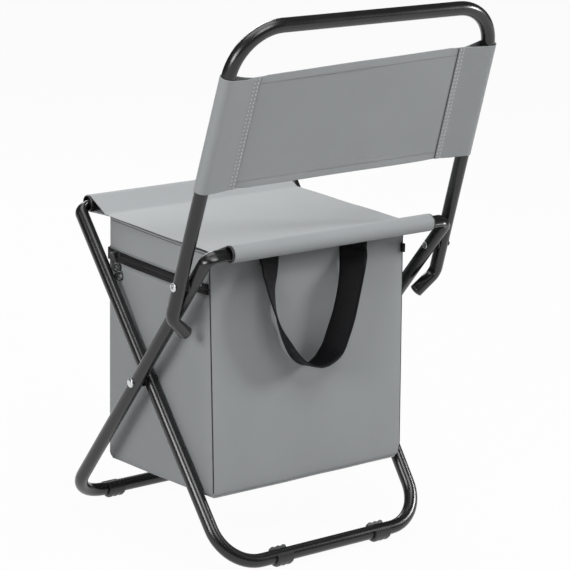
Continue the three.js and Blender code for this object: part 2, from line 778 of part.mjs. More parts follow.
// Carry handle: a webbing loop on the rear wall under its two sewn ends
const strapInner = bagRear + fitGap;
const strapMiddle = strapInner + strapThickness / 2;
const strapSeam = bagTop - strapSeamDrop;
const loopTop = strapSeam - fitGap;
const loopLowest = strapSeam - loopDrop;
const loopMiddle = (strapLeftX + strapRightX) / 2;
const loopHalf = (strapLeftX - strapRightX) / 2;
const loopDepth = loopTop - loopLowest - strapWidth / 2;
const loopStations = [];
for (let k = 0; k <= loopSteps; k++) {
  const angle = (Math.PI * k) / loopSteps;
  const x = loopMiddle + loopHalf * Math.cos(angle);
  loopStations.push(new THREE.Vector3(x, strapMiddle, loopTop - loopDepth * Math.sin(angle)));
}
const loopRoute = new Route(loopStations);
function strapSection() {
  const probe = loopRoute.computeFrenetFrames(loopRoute.steps, false);
  const flatwise = Math.abs(probe.normals[0].y) > 0.5;
  const [w, h] = flatwise ? [strapThickness, strapWidth] : [strapWidth, strapThickness];
  return new THREE.Shape()
    .moveTo(-w / 2, -h / 2)
    .lineTo(w / 2, -h / 2)
    .lineTo(w / 2, h / 2)
    .lineTo(-w / 2, h / 2)
    .closePath();
}
const underSeam = block(
  new THREE.Vector3(-reach, 0, loopTop - strapThickness),
  new THREE.Vector3(reach, reach, loopTop + strapWidth),
);
addPiece("carry_handle", cut(sweep(strapSection(), loopRoute, 2), underSeam), blackWebbing());
for (const [name, x] of [
  ["left", strapLeftX],
  ["right", strapRightX],
]) {
  addPiece(
    `handle_end_${name}`,
    block(
      new THREE.Vector3(x - strapWidth / 2, strapInner, strapSeam),
      new THREE.Vector3(x + strapWidth / 2, strapInner + strapThickness, strapSeam + strapEndHeight),
    ),
    blackWebbing(),
  );
}

// The origin is on the floor under the middle of the object's length
const foremost = frontReach + tubeRadius + fitGap + footWall + footRibHeight;
const rearmost = backPivotY + backLength * Math.sin(backLean) + tubeRadius;
stool.position.y = (foremost - rearmost) / 2;

export default stool;
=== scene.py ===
"""Folding cooler stool: bent tube frames, a cloth seat and backrest, and an insulated bag under the seat."""

import math

import bmesh
import bpy
import numpy as np
from mathutils import Matrix, Vector, noise


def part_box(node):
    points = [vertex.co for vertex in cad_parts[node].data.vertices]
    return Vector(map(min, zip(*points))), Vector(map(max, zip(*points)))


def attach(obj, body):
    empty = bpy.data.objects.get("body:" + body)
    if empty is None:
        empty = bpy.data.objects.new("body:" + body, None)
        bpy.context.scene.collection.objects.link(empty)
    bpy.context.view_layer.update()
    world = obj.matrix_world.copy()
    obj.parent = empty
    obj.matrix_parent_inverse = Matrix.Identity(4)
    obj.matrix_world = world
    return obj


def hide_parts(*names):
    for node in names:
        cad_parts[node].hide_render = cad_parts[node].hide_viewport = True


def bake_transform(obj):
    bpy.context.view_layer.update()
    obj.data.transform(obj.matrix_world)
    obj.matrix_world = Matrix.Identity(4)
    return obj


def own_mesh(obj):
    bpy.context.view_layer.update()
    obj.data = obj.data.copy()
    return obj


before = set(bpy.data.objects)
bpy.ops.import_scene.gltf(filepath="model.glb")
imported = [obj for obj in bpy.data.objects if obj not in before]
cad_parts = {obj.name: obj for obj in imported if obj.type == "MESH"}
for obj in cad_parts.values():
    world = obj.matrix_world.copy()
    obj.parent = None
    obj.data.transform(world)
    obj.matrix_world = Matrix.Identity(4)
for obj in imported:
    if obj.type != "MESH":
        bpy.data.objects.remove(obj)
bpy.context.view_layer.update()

# Sizes in millimetres: X to the sides, Y rearwards from the leg pivot, Z up from the floor
TUBE_R = 8.0
BAR_R = 9.0
BAR_BORE_R = 8.3
BAR_HALF = 140.0
BAR_Z = 377.0
BAR_Y = 145.0
FLOOR_AXIS = 12.0
RING_END = 143.6
RING_WIDTH = 3.0
RING_R = 9.8
PLUG_X = 104.0
FLOOR_BEND = 50.0
TOP_BEND = 11.67
LEG_PIVOT = (-0.245, 197.897)
RIVET_X = 175.4
BACK_PIVOT = (115.396, 340.495)
SCREW_X = 195.5
NUT_X = 161.2
BACK_LEAN = math.radians(17.3)
BACK_HALF = 187.2
BACK_TAPER = 10.0
BACK_LENGTH = 309.0
BACK_CLOTH_LOW = (118.5, 121.5)
BACK_CLOTH_HIGH = (254.0, 262.5)
BACK_SEAM = 34.0
ELBOW_UP = -40.7
ELBOW_REACH = 31.0 * math.sqrt(0.5)
ELBOW_BEND = 18.0
BACK_BEND = 58.0
SEAT_LOW = 6.2
SEAT_HALF = 140.8
SEAT_OPEN = BAR_Y - 33.0
SEAT_REACH = {"front": 36.0, "rear": 37.0}
SLEEVE_GAP = 0.75
CLOTH_PLY = 0.9
BAG_HALF = 136.0
BAG_FRONT = -107.0
BAG_REAR = 112.0
BAG_BOTTOM = 76.0
BAG_TOP = 369.9
BAG_CORNER = 2.5
CORNER_STEPS = 7
WALL_FOLD = 8.0
ZIP_Z = 326.5
ZIP_HALF = 5.8
STRAP_SEAM = 353.9
STRAP_WIDTH = 32.0
STRAP_THICK = 1.7

OUTER_LEGS = {"floor_y": -151.0, "seat_y": BAR_Y, "floor_half": 164.0, "top_half": 170.0}
INNER_LEGS = {"floor_y": 150.0, "seat_y": -BAR_Y, "floor_half": 142.635, "top_half": 155.635}
SIDES = (("left", 1), ("right", -1))

bar_low, bar_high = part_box("rear_seat_bar")
PIVOT_SHIFT = 500 * (bar_low.y + bar_high.y) - BAR_Y


def to_frame(points):
    """Millimetres from the leg pivot to metres in the shared frame."""
    placed = np.array(points, float).reshape(-1, 3)
    placed[:, 1] += PIVOT_SHIFT
    return placed * 0.001


def frame_point(x, y, z):
    return Vector(to_frame([(x, y, z)])[0])


# Node trees


def give(tree, socket, value):
    """Sets a socket to a value, or links another socket to it."""
    if isinstance(value, bpy.types.NodeSocket):
        tree.links.new(value, socket)
    else:
        socket.default_value = value


def add_node(tree, kind, settings=None, **inputs):
    """A node with its inputs by label, a blank written as _."""
    node = tree.nodes.new(kind)
    for label, value in (settings or {}).items():
        setattr(node, label, value)
    for label, value in inputs.items():
        give(tree, node.inputs[label.replace("_", " ")], value)
    return node


def math_node(tree, operation, *values):
    node = add_node(tree, "ShaderNodeMath", {"operation": operation})
    for socket, value in zip(node.inputs, values):
        give(tree, socket, value)
    return node.outputs[0]


def ranged(tree, value, low, high, start=0.0):
    """The value's range from start to 1, as low to high."""
    node = add_node(tree, "ShaderNodeMapRange", Value=value, From_Min=start, To_Min=low, To_Max=high)
    return node.outputs[0]


def mixed_colour(tree, factor, dark, light):
    node = add_node(tree, "ShaderNodeMix", {"data_type": "RGBA"}, Factor=factor)
    for index, colour in ((6, dark), (7, light)):
        node.inputs[index].default_value = (*colour, 1.0)
    return node.outputs[2]


def new_tree(name, kind, inputs, results):
    """An empty tree with named sockets: (label, content, value) and (label, content)."""
    tree = bpy.data.node_groups.new(name, kind)
    for label, content, value in inputs:
        socket = tree.interface.new_socket(label, in_out="INPUT", socket_type=f"NodeSocket{content}")
        if value is not None:
            socket.default_value = value
    for label, content in results:
        tree.interface.new_socket(label, in_out="OUTPUT", socket_type=f"NodeSocket{content}")
    return tree, tree.nodes.new("NodeGroupInput").outputs, tree.nodes.new("NodeGroupOutput").inputs


def build_grain_group():
    """Uneven film: a soft mottle for colour and roughness, and a fine pebble for the bump."""
    inputs = [("Vector", "Vector", None), ("Mottle Scale", "Float", 40.0), ("Pebble Scale", "Float", 900.0)]
    results = [("Mottle", "Float"), ("Pebble", "Float")]
    group, given, out = new_tree("film_grain", "ShaderNodeTree", inputs, results)
    for label, _ in results:
        scale = given[f"{label} Scale"]
        texture = add_node(group, "ShaderNodeTexNoise", Detail=3.0, Vector=given["Vector"], Scale=scale)
        give(group, out[label], texture.outputs[0])
    return group


def build_weave_group():
    """Plain weave: the height of two crossed sets of threads."""
    inputs = [("Vector", "Vector", None), ("Threads", "Float", 1400.0)]
    group, given, out = new_tree("thread_weave", "ShaderNodeTree", inputs, [("Height", "Float")])
    axes = add_node(group, "ShaderNodeSeparateXYZ", Vector=given["Vector"]).outputs
    waves = []
    for place in (math_node(group, "ADD", axes["X"], axes["Y"]), axes["Z"]):
        phase = math_node(group, "MULTIPLY", place, given["Threads"])
        waves.append(math_node(group, "SINE", phase))
    half = math_node(group, "MULTIPLY", math_node(group, "MULTIPLY", *waves), 0.5)
    give(group, out["Height"], math_node(group, "ADD", half, 0.5))
    return group


FILM_GRAIN = build_grain_group()
THREAD_WEAVE = build_weave_group()


# Materials


def new_material(name, **inputs):
    material = bpy.data.materials.new(name)
    material.use_nodes = True
    shader = material.node_tree.nodes["Principled BSDF"]
    for label, value in inputs.items():
        shader.inputs[label.replace("_", " ")].default_value = value
    return material, material.node_tree, shader


def add_group(tree, group, **values):
    where = tree.nodes.new("ShaderNodeTexCoord").outputs["Object"]
    return add_node(tree, "ShaderNodeGroup", {"node_tree": group}, Vector=where, **values).outputs


def add_bump(tree, shader, height, distance, strength, **under):
    bump = add_node(tree, "ShaderNodeBump", Distance=distance, Strength=strength, Height=height, **under)
    give(tree, shader.inputs["Normal"], bump.outputs[0])
    return bump.outputs[0]


def add_film(tree, shader, dark, light, rough, **scales):
    """Colour and roughness that vary softly over the surface."""
    film = add_group(tree, FILM_GRAIN, **scales)
    give(tree, shader.inputs["Base Color"], mixed_colour(tree, film["Mottle"], dark, light))
    give(tree, shader.inputs["Roughness"], ranged(tree, film["Mottle"], *rough))
    return film


def coated_cloth(name, dark, light, roughness):
    """Polyester with a smooth coating: soft mottle, weave that barely shows, slight sheen."""
    sheen = {"Sheen_Weight": 0.12, "Sheen_Roughness": 0.4}
    material, tree, shader = new_material(name, Roughness=roughness, Specular_IOR_Level=0.18, **sheen)
    rough = (roughness - 0.06, roughness + 0.06)
    film = add_film(tree, shader, dark, light, rough, Mottle_Scale=14.0, Pebble_Scale=420.0)
    weave = add_group(tree, THREAD_WEAVE, Threads=5200.0)
    soft = add_bump(tree, shader, film["Pebble"], 0.00025, 0.35)
    add_bump(tree, shader, weave["Height"], 0.00012, 0.3, Normal=soft)
    return material


def sprayed_metal(name, dark, light, roughness, metallic=0.0):
    """A sprayed, plated or moulded surface with a very fine pebble."""
    finish = {"Roughness": roughness, "Metallic": metallic, "Specular_IOR_Level": 0.6}
    material, tree, shader = new_material(name, **finish)
    rough = (roughness - 0.04, roughness + 0.05)
    film = add_film(tree, shader, dark, light, rough, Mottle_Scale=22.0, Pebble_Scale=1500.0)
    add_bump(tree, shader, film["Pebble"], 0.00012, 0.015)
    return material


def ribbed_webbing_painted_glints(name, dark, light, ribs, depth, sheen):
    """Woven tape whose ribs run across it, the rib crests coloured lighter as a painted highlight; the map's
    U is the length in metres.
    """
    material, tree, shader = new_material(name, Roughness=0.5, Sheen_Weight=sheen, Specular_IOR_Level=0.15)
    uv = add_node(tree, "ShaderNodeUVMap", {"uv_map": "along"})
    split = add_node(tree, "ShaderNodeSeparateXYZ", Vector=uv.outputs[0])
    turns = math_node(tree, "MULTIPLY", split.outputs["X"], 2 * math.pi * ribs)
    height = ranged(tree, math_node(tree, "SINE", turns), 0.0, 1.0, -1.0)
    film = add_group(tree, FILM_GRAIN, Mottle_Scale=60.0, Pebble_Scale=2200.0)
    # Rib crests take the lighter colour: a painted highlight where light catches the ribs.
    ribbed = math_node(tree, "MULTIPLY", height, film["Pebble"])
    give(tree, shader.inputs["Base Color"], mixed_colour(tree, ribbed, dark, light))
    add_bump(tree, shader, height, depth, 0.8)
    return material


CLOTH = coated_cloth("grey_coated_cloth", (0.272, 0.285, 0.29), (0.306, 0.319, 0.324), 0.66)
THREAD = coated_cloth("pale_thread", (0.6, 0.61, 0.61), (0.68, 0.69, 0.69), 0.6)
DARK_THREAD = coated_cloth("grey_thread", (0.2, 0.205, 0.21), (0.26, 0.265, 0.27), 0.6)
# Near-black painted shade for the gaps and grooves at seams; at the backrest's raw edges it also stands for
# black thread.
PAINTED_SEAM_SHADE = coated_cloth("painted_seam_shade", (0.02, 0.02, 0.022), (0.04, 0.04, 0.043), 0.7)
POWDER_COAT = sprayed_metal("charcoal_powder_coat", (0.0065, 0.0065, 0.007), (0.0095, 0.0095, 0.01), 0.25)
PLASTIC = sprayed_metal("black_moulded_plastic", (0.009, 0.009, 0.01), (0.014, 0.014, 0.015), 0.36)
ZIP_COIL = sprayed_metal("black_zip_coil", (0.004, 0.004, 0.005), (0.007, 0.007, 0.008), 0.6)
ZINC = sprayed_metal("bright_zinc", (0.62, 0.63, 0.64), (0.74, 0.75, 0.76), 0.28, 1.0)
FOIL = sprayed_metal("metallised_liner", (0.56, 0.57, 0.59), (0.68, 0.69, 0.71), 0.32, 0.7)
BLACK = (0.002, 0.002, 0.003)
# Webbing and zip tape: near black, with lighter rib crests as a painted highlight.
WEBBING = ribbed_webbing_painted_glints("black_webbing", BLACK, (0.022, 0.022, 0.024), 490.0, 0.0008, 0.0)
TAPE_BLACK = (0.004, 0.004, 0.005)
ZIP_TAPE = ribbed_webbing_painted_glints("black_zip_tape", TAPE_BLACK, (0.011, 0.011, 0.013), 1800.0, 0.00015, 0.03)


# Meshes


def link_piece(name, mesh):
    piece = bpy.data.objects.new(name, mesh)
    bpy.context.scene.collection.objects.link(piece)
    return piece


def mesh_piece(name, points, faces, material):
    """A smooth piece; points in millimetres from the leg pivot."""
    mesh = bpy.data.meshes.new(name)
    mesh.from_pydata(to_frame(points).tolist(), [], [list(map(int, f)) for f in faces])
    mesh.materials.append(material)
    mesh.polygons.foreach_set("use_smooth", [True] * len(mesh.polygons))
    mesh.update()
    return link_piece(name, mesh)


def settle(piece, body, slot, *nodes):
    """Ties a piece to its body and hides the nodes it stands for; the finish slot is not used."""
    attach(piece, body)
    if nodes:
        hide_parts(*nodes)
    return piece


def baked(piece):
    """The piece with its modifiers made part of its mesh."""
    depsgraph = bpy.context.evaluated_depsgraph_get()
    evaluated = piece.evaluated_get(depsgraph)
    mesh = bpy.data.meshes.new_from_object(evaluated, preserve_all_data_layers=True, depsgraph=depsgraph)
    piece.modifiers.clear()
    old = piece.data
    piece.data = mesh
    mesh.name = piece.name
    bpy.data.meshes.remove(old)
    return piece


def grid_faces(rows, columns, wrap=False, start=0):
    """Quads of a grid of points; wrap closes each row."""
    index = start + np.arange(rows * columns).reshape(rows, columns)
    if wrap:
        index = np.concatenate((index, index[:, :1]), axis=1)
    quads = (index[:-1, :-1], index[:-1, 1:], index[1:, 1:], index[1:, :-1])
    return np.stack(quads, axis=2).reshape(-1, 4).tolist()


def thickened(piece, thickness, offset=-1.0):
    """The surface as a closed ply, its thickness in millimetres."""
    shell = piece.modifiers.new("ply", "SOLIDIFY")
    shell.thickness = thickness * 0.001
    shell.offset = offset
    shell.use_even_offset = True
    return baked(piece)


def smoothstep(t):
    t = np.clip(t, 0.0, 1.0)
    return t * t * (3 - 2 * t)


def ripple(points, size, seed):
    """Soft noise from -1 to 1 at points in millimetres."""
    offset = Vector((seed * 17.3, seed * 5.1, seed * 9.7))
    return np.array([noise.noise(Vector(p) / size + offset) for p in np.asarray(points).reshape(-1, 3)])


# A tube, a row of stitches and a row of zip teeth along a route


def route_tree(name, grow, *inputs):
    """A tree that turns edges into a route, grows along it and gives the result a finish."""
    sockets = [("Geometry", "Geometry", None), *inputs, ("Finish", "Material", None)]
    tree, given, out = new_tree(name, "GeometryNodeTree", sockets, [("Geometry", "Geometry")])
    curve = add_node(tree, "GeometryNodeMeshToCurve", Mesh=given["Geometry"])
    geometry = grow(tree, given, curve.outputs[0])
    for kind in ("RealizeInstances", "SetShadeSmooth", "SetMaterial"):
        step = tree.nodes.new(f"GeometryNode{kind}")
        give(tree, step.inputs[0], geometry)
        geometry = step.outputs[0]
    give(tree, step.inputs["Material"], given["Finish"])
    give(tree, out[0], geometry)
    return tree


def round_sweep(tree, curve, radius, sides):
    circle = add_node(tree, "GeometryNodeCurvePrimitiveCircle", Radius=radius, Resolution=sides).outputs[0]
    sweep = add_node(tree, "GeometryNodeCurveToMesh", Curve=curve, Profile_Curve=circle, Fill_Caps=True)
    return sweep.outputs[0]


def spaced_copies(tree, given, curve, copy):
    """One copy at every pitch along the route, its X axis along it."""
    pitch = given["Pitch"]
    spaced = add_node(tree, "GeometryNodeResampleCurve", {"mode": "LENGTH"}, Curve=curve, Length=pitch)
    tangent = tree.nodes.new("GeometryNodeInputTangent").outputs[0]
    turn = add_node(tree, "FunctionNodeAlignRotationToVector", {"axis": "X"}, Vector=tangent).outputs[0]
    points = spaced.outputs[0]
    place = add_node(tree, "GeometryNodeInstanceOnPoints", Points=points, Instance=copy, Rotation=turn)
    return place.outputs[0]


def grow_tube(tree, given, curve):
    return round_sweep(tree, curve, given["Radius"], given["Sides"])


def grow_stitches(tree, given, curve):
    ends = {}
    for label, share in (("Start", -0.5), ("End", 0.5)):
        along = math_node(tree, "MULTIPLY", given["Stitch"], share)
        ends[label] = add_node(tree, "ShaderNodeCombineXYZ", X=along).outputs[0]
    line = add_node(tree, "GeometryNodeCurvePrimitiveLine", **ends)
    return spaced_copies(tree, given, curve, round_sweep(tree, line.outputs[0], given["Radius"], 5))


def grow_teeth(tree, given, curve):
    tooth = add_node(tree, "GeometryNodeMeshCube", Size=given["Tooth"])
    return spaced_copies(tree, given, curve, tooth.outputs[0])


THREAD_SIZES = [("Pitch", "Float", 0.0034), ("Stitch", "Float", 0.0026), ("Radius", "Float", 0.00035)]
TOOTH_SIZES = [("Pitch", "Float", 0.0017), ("Tooth", "Vector", (0.001, 0.0014, 0.0022))]
TUBE_TREE = route_tree("tube_along_route", grow_tube, ("Radius", "Float", 0.008), ("Sides", "Int", 32))
STITCH_TREE = route_tree("stitch_row", grow_stitches, *THREAD_SIZES)
TEETH_TREE = route_tree("zip_teeth", grow_teeth, *TOOTH_SIZES)


def grown(name, tree, routes, finish, closed=False, **values):
    """A tree's result along one route or several, as a plain mesh at the origin."""
    points, edges = [], []
    for route in routes:
        start = len(points)
        points.extend(to_frame(route).tolist())
        edges.extend((start + k, start + k + 1) for k in range(len(route) - 1))
        if closed:
            edges.append((start + len(route) - 1, start))
    mesh = bpy.data.meshes.new(name)
    mesh.from_pydata(points, edges, [])
    piece = link_piece(name, mesh)
    modifier = piece.modifiers.new("grow", "NODES")
    modifier.node_group = tree
    sockets = {i.name: i.identifier for i in tree.interface.items_tree if i.in_out == "INPUT"}
    for label, value in {"Finish": finish, **values}.items():
        modifier[sockets[label]] = value
    bpy.context.view_layer.update()
    return baked(piece)


# Bent tube frames

BEND_STEPS = 14


def bend_points(before, corner, after, radius):
    """Points round one bend, from its start to its end."""
    arriving = (corner - before) / np.linalg.norm(corner - before)
    leaving = (after - corner) / np.linalg.norm(after - corner)
    turn = math.atan2(arriving[0] * leaving[1] - arriving[1] * leaving[0], float(arriving @ leaving))
    start = corner - arriving * radius * math.tan(abs(turn) / 2)
    inwards = np.array((-arriving[1], arriving[0])) * math.copysign(1, turn)
    centre = start + inwards * radius
    arm = start - centre
    for k in range(BEND_STEPS + 1):
        c, s = math.cos(turn * k / BEND_STEPS), math.sin(turn * k / BEND_STEPS)
        yield centre + np.array((c * arm[0] - s * arm[1], s * arm[0] + c * arm[1]))


def bent_route(corners, radii):
    """A flat route from the first corner to the last, rounded at those between."""
    corners = [np.array(c, float) for c in corners]
    route = [corners[0]]
    for k, radius in enumerate(radii):
        route.extend(bend_points(*corners[k : k + 3], radius))
    return np.array(route + [corners[-1]])


def leg_route(legs):
    """From the seat bar down one leg, along the floor and up the other leg."""
    rise = BAR_Z - FLOOR_AXIS
    run = legs["seat_y"] - legs["floor_y"]
    length = math.hypot(run, rise)
    top, low = legs["top_half"], legs["floor_half"]
    corners = [(PLUG_X, length), (top, length), (low, 0), (-low, 0), (-top, length), (-PLUG_X, length)]
    flat = bent_route(corners, [TOP_BEND, FLOOR_BEND, FLOOR_BEND, TOP_BEND])
    share = flat[:, 1] / length
    return np.stack((flat[:, 0], legs["floor_y"] + share * run, FLOOR_AXIS + share * rise), axis=1)


def on_backrest(x, up, back=0.0):
    """A point of the leaning backrest plane: across, up along the lean, and out to the rear."""
    s, c = math.sin(BACK_LEAN), math.cos(BACK_LEAN)
    return np.array((x, BACK_PIVOT[0] + up * s + back * c, BACK_PIVOT[1] + up * c - back * s))


def upright_half(up):
    return BACK_HALF - BACK_TAPER * up / BACK_LENGTH


def backrest_route():
    """From the left turned-in tip up, over the top and down to the right tip."""
    half, top = upright_half(ELBOW_UP), upright_half(BACK_LENGTH)
    left = [(half - ELBOW_REACH, ELBOW_UP - ELBOW_REACH), (half, ELBOW_UP), (top, BACK_LENGTH)]
    right = [(-x, up) for x, up in reversed(left)]
    route = bent_route(left + right, [ELBOW_BEND, BACK_BEND, BACK_BEND, ELBOW_BEND])
    return np.array([on_backrest(x, up) for x, up in route])


def crimp(tube, route, bend):
    """The dent that the bending tool leaves on the inner side of a tight bend."""
    reach, spread, dent = 18.0, 6.0, 0.0042
    start = 1 + bend * (BEND_STEPS + 1)
    middle = route[start + BEND_STEPS // 2]
    inwards = (route[start] + route[start + BEND_STEPS]) / 2 - middle
    inwards = Vector(inwards / np.linalg.norm(inwards))
    centre = frame_point(*middle)
    for vertex in tube.data.vertices:
        away = (vertex.co - centre) * 1000
        depth = away.dot(inwards)
        if depth > 0 and away.length < reach:
            beside = (away - inwards * depth).length
            vertex.co -= inwards * dent * math.exp(-((beside / spread) ** 2)) * min(depth / TUBE_R, 1)


def pinch(tube, route, sides):
    """The top bends as they are pressed: from round at the leg to a flat that fits into the seat bar."""
    outer_dent, inner_dent = 5.4, 2.0
    rings = np.empty(len(tube.data.vertices) * 3)
    tube.data.vertices.foreach_get("co", rings)
    rings = rings.reshape(len(route), sides, 3)
    centres = to_frame(route)
    count = BEND_STEPS + 2
    for order in (np.arange(count), np.arange(len(route) - 1, len(route) - 1 - count, -1)):
        chord = (centres[order[1]] + centres[order[-1]]) / 2 - centres[order[count // 2]]
        across = np.cross(centres[order[1]] - centres[order[0]], centres[order[-1]] - centres[order[-2]])
        for k, ring in enumerate(order):
            along = centres[order[min(k + 1, count - 1)]] - centres[order[max(k - 1, 0)]]
            inwards = np.cross(across, along)
            inwards *= math.copysign(1, inwards @ chord) / np.linalg.norm(inwards)
            depth = (rings[ring] - centres[ring]) @ inwards
            flat = smoothstep(1.15 - (k - 1) / BEND_STEPS)
            dent = np.where(depth < 0, outer_dent, inner_dent) * flat * -depth / TUBE_R
            rings[ring] += dent[:, None] * inwards
    tube.data.vertices.foreach_set("co", rings.ravel())
    tube.data.update()


def make_frames():
    sides = 40
    for name, node, body, route in (
        ("outer_legs", "outer_leg_tube", "outer_frame", leg_route(OUTER_LEGS)),
        ("inner_legs", "inner_leg_tube", "inner_frame", leg_route(INNER_LEGS)),
        ("backrest_frame", "backrest_tube", "backrest", backrest_route()),
    ):
        tube = grown(name, TUBE_TREE, [route], POWDER_COAT, Radius=TUBE_R * 0.001, Sides=sides)
        if body == "backrest":
            for elbow in (0, 3):
                crimp(tube, route, elbow)
        else:
            pinch(tube, route, sides)
        settle(tube, body, "frame_powder_coat", node)


# Turned and moulded pieces

BOX_FACES = [(0, 3, 2, 1), (4, 5, 6, 7), (0, 1, 5, 4), (1, 2, 6, 5), (2, 3, 7, 6), (3, 0, 4, 7)]


def turned(profile, start, axis, sides=28, closed=False):
    """Points and faces of a round solid; the profile is (radius, distance along the axis)."""
    axis = np.array(axis, float) / np.linalg.norm(axis)
    side = np.cross(axis, (0.0, 0.0, 1.0))
    side /= np.linalg.norm(side)
    up = np.cross(axis, side)
    points, rings, faces = [], [], []
    for radius, along in profile:
        centre = np.array(start, float) + axis * along
        count = sides if radius > 0 else 1
        rings.append(range(len(points), len(points) + count))
        for k in range(count):
            turn = 2 * math.pi * k / sides
            points.append(centre + radius * (math.cos(turn) * side + math.sin(turn) * up))
    following = rings[1:] + rings[:1] if closed else rings[1:]
    for low, high in zip(rings, following):
        for k in range(sides):
            n = (k + 1) % sides
            corners = [low[k % len(low)], low[n % len(low)], high[n % len(high)], high[k % len(high)]]
            faces.append(list(dict.fromkeys(corners)))
    return points, faces


def joined(*solids):
    points, faces = [], []
    for more_points, more_faces in solids:
        start = len(points)
        points.extend(more_points)
        faces.extend([[start + k for k in face] for face in more_faces])
    return points, faces


def solid_piece(name, solid, material, crease=50.0):
    """A closed hard piece: faces outwards, edges sharper than the crease kept crisp."""
    piece = mesh_piece(name, *solid, material)
    edit = bmesh.new()
    edit.from_mesh(piece.data)
    bmesh.ops.recalc_face_normals(edit, faces=edit.faces)
    edit.to_mesh(piece.data)
    edit.free()
    piece.data.set_sharp_from_angle(angle=math.radians(crease))
    return piece


def hollow_bar(half, outer, chamfer, x, y):
    """A short or long tube across the stool at the height of the seat bars."""
    first_end = [(outer - chamfer, -half), (outer, chamfer - half)]
    last_end = [(outer, half - chamfer), (outer - chamfer, half)]
    profile = first_end + last_end + [(BAR_BORE_R, half), (BAR_BORE_R, -half)]
    return turned(profile, (x, y, BAR_Z), (1, 0, 0), 40, True)


def make_seat_bars():
    bar_chamfer, ring_chamfer, ring_gap = 0.3, 0.7, 0.3
    for end, y, body in (("rear", BAR_Y, "outer_frame"), ("front", -BAR_Y, "inner_frame")):
        tube = hollow_bar(BAR_HALF, BAR_R, bar_chamfer, 0, y)
        bar = solid_piece(f"{end}_seat_tube", tube, POWDER_COAT, 35.0)
        settle(bar, body, "frame_powder_coat", f"{end}_seat_bar")
        for side, sign in SIDES:
            middle = sign * (RING_END - ring_gap - RING_WIDTH / 2)
            ring = hollow_bar(RING_WIDTH / 2, RING_R, ring_chamfer, middle, y)
            piece = solid_piece(f"{end}_{side}_end_ring", ring, PLASTIC, 60.0)
            settle(piece, body, "black_plastic", f"{end}_bar_ring_{side}")


def make_feet():
    """C-shaped clips with three ribs and a flat sole, their mouths leaning away from the stool."""
    reach, bore, core, rib, rib_pitch = 11.0, 8.3, 11.1, 0.85, 7.6
    stations = np.linspace(-reach, reach, 45)
    mouth, tilt = math.radians(100), math.radians(12)
    for node, body, legs in (
        ("front_foot", "outer_frame", OUTER_LEGS),
        ("rear_foot", "inner_frame", INNER_LEGS),
    ):
        y = legs["floor_y"]
        opening = math.pi / 2 - math.copysign(tilt, y)
        turns = np.linspace(opening + mouth / 2, opening - mouth / 2 + 2 * math.pi, 41)
        for side, _ in SIDES:
            low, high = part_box(f"{node}_{side}")
            middle = 500 * (low.x + high.x)
            points = []
            for x in stations:
                wave = math.cos(2 * math.pi * x / rib_pitch)
                end = 0.8 * (abs(x) > reach - 0.1)
                for turn in turns:
                    ribbed = smoothstep((abs(math.sin(turn)) - 0.5) / 0.35)
                    radius = core + rib * (ribbed * smoothstep(wave + 0.6) + 0.4 * (1 - ribbed)) - end
                    height = max(FLOOR_AXIS + radius * math.sin(turn), 0.0)
                    points.append((middle + x, y + radius * math.cos(turn), height))
                for turn in turns[::-1]:
                    points.append((middle + x, y + bore * math.cos(turn), FLOOR_AXIS + bore * math.sin(turn)))
            columns = 2 * len(turns)
            faces = grid_faces(len(stations), columns, wrap=True)
            last = columns * (len(stations) - 1)
            for k in range(len(turns) - 1):
                cap = [k, columns - 1 - k, columns - 2 - k, k + 1]
                faces.append(cap)
                faces.append([last + n for n in reversed(cap)])
            foot = solid_piece(f"{node}_clip_{side}", (points, faces), PLASTIC)
            settle(foot, body, "black_plastic", f"{node}_{side}")


def domed_head(radius, height, shank_radius, shank):
    """From the end of the shank out to the middle of the head."""
    dome = [(radius * math.cos(a), height * (0.35 + 0.65 * math.sin(a))) for a in np.linspace(0, 1.45, 7)]
    return [(0, -shank), (shank_radius, -shank), (shank_radius, 0), (radius, 0)] + dome + [(0, height)]


def cross_recess(sign):
    """The two crossed slots in a screw's head, as black blocks that paint the shade in the recess."""
    y, z = BACK_PIVOT
    first_turn, long, wide = 0.5, 2.4, 0.45
    slots = []
    for turn in (first_turn, first_turn + math.pi / 2):
        c, s = math.cos(turn), math.sin(turn)
        box = []
        for out in (0.9, 1.68):
            for a, b in ((-long, -wide), (long, -wide), (long, wide), (-long, wide)):
                box.append((sign * (SCREW_X + out), y + a * c - b * s, z + a * s + b * c))
        slots.append((box, BOX_FACES))
    return joined(*slots)


def make_pivots():
    for side, sign in SIDES:
        for name, node, x, pivot, facing, head in (
            ("leg_rivet", "leg_pivot_rivet", RIVET_X, LEG_PIVOT, 1, domed_head(5.5, 2.4, 2.9, 30)),
            ("backrest_screw", "backrest_pivot_screw", SCREW_X, BACK_PIVOT, 1, domed_head(5.0, 1.6, 2.4, 34)),
            ("backrest_nut", "backrest_pivot_nut", NUT_X, BACK_PIVOT, -1, domed_head(4.1, 1.0, 2.4, 1.0)),
        ):
            solid = turned(head, (sign * x, *pivot), (sign * facing, 0, 0))
            piece = solid_piece(f"{name}_{side}", solid, ZINC)
            settle(piece, "outer_frame", "zinc_fasteners", f"{node}_{side}")
        # Black blocks in the screw head stand in for the shade in its cross recess.
        recess = solid_piece(f"backrest_screw_recess_{side}", cross_recess(sign), PLASTIC, 35.0)
        settle(recess, "outer_frame", "zinc_fasteners")


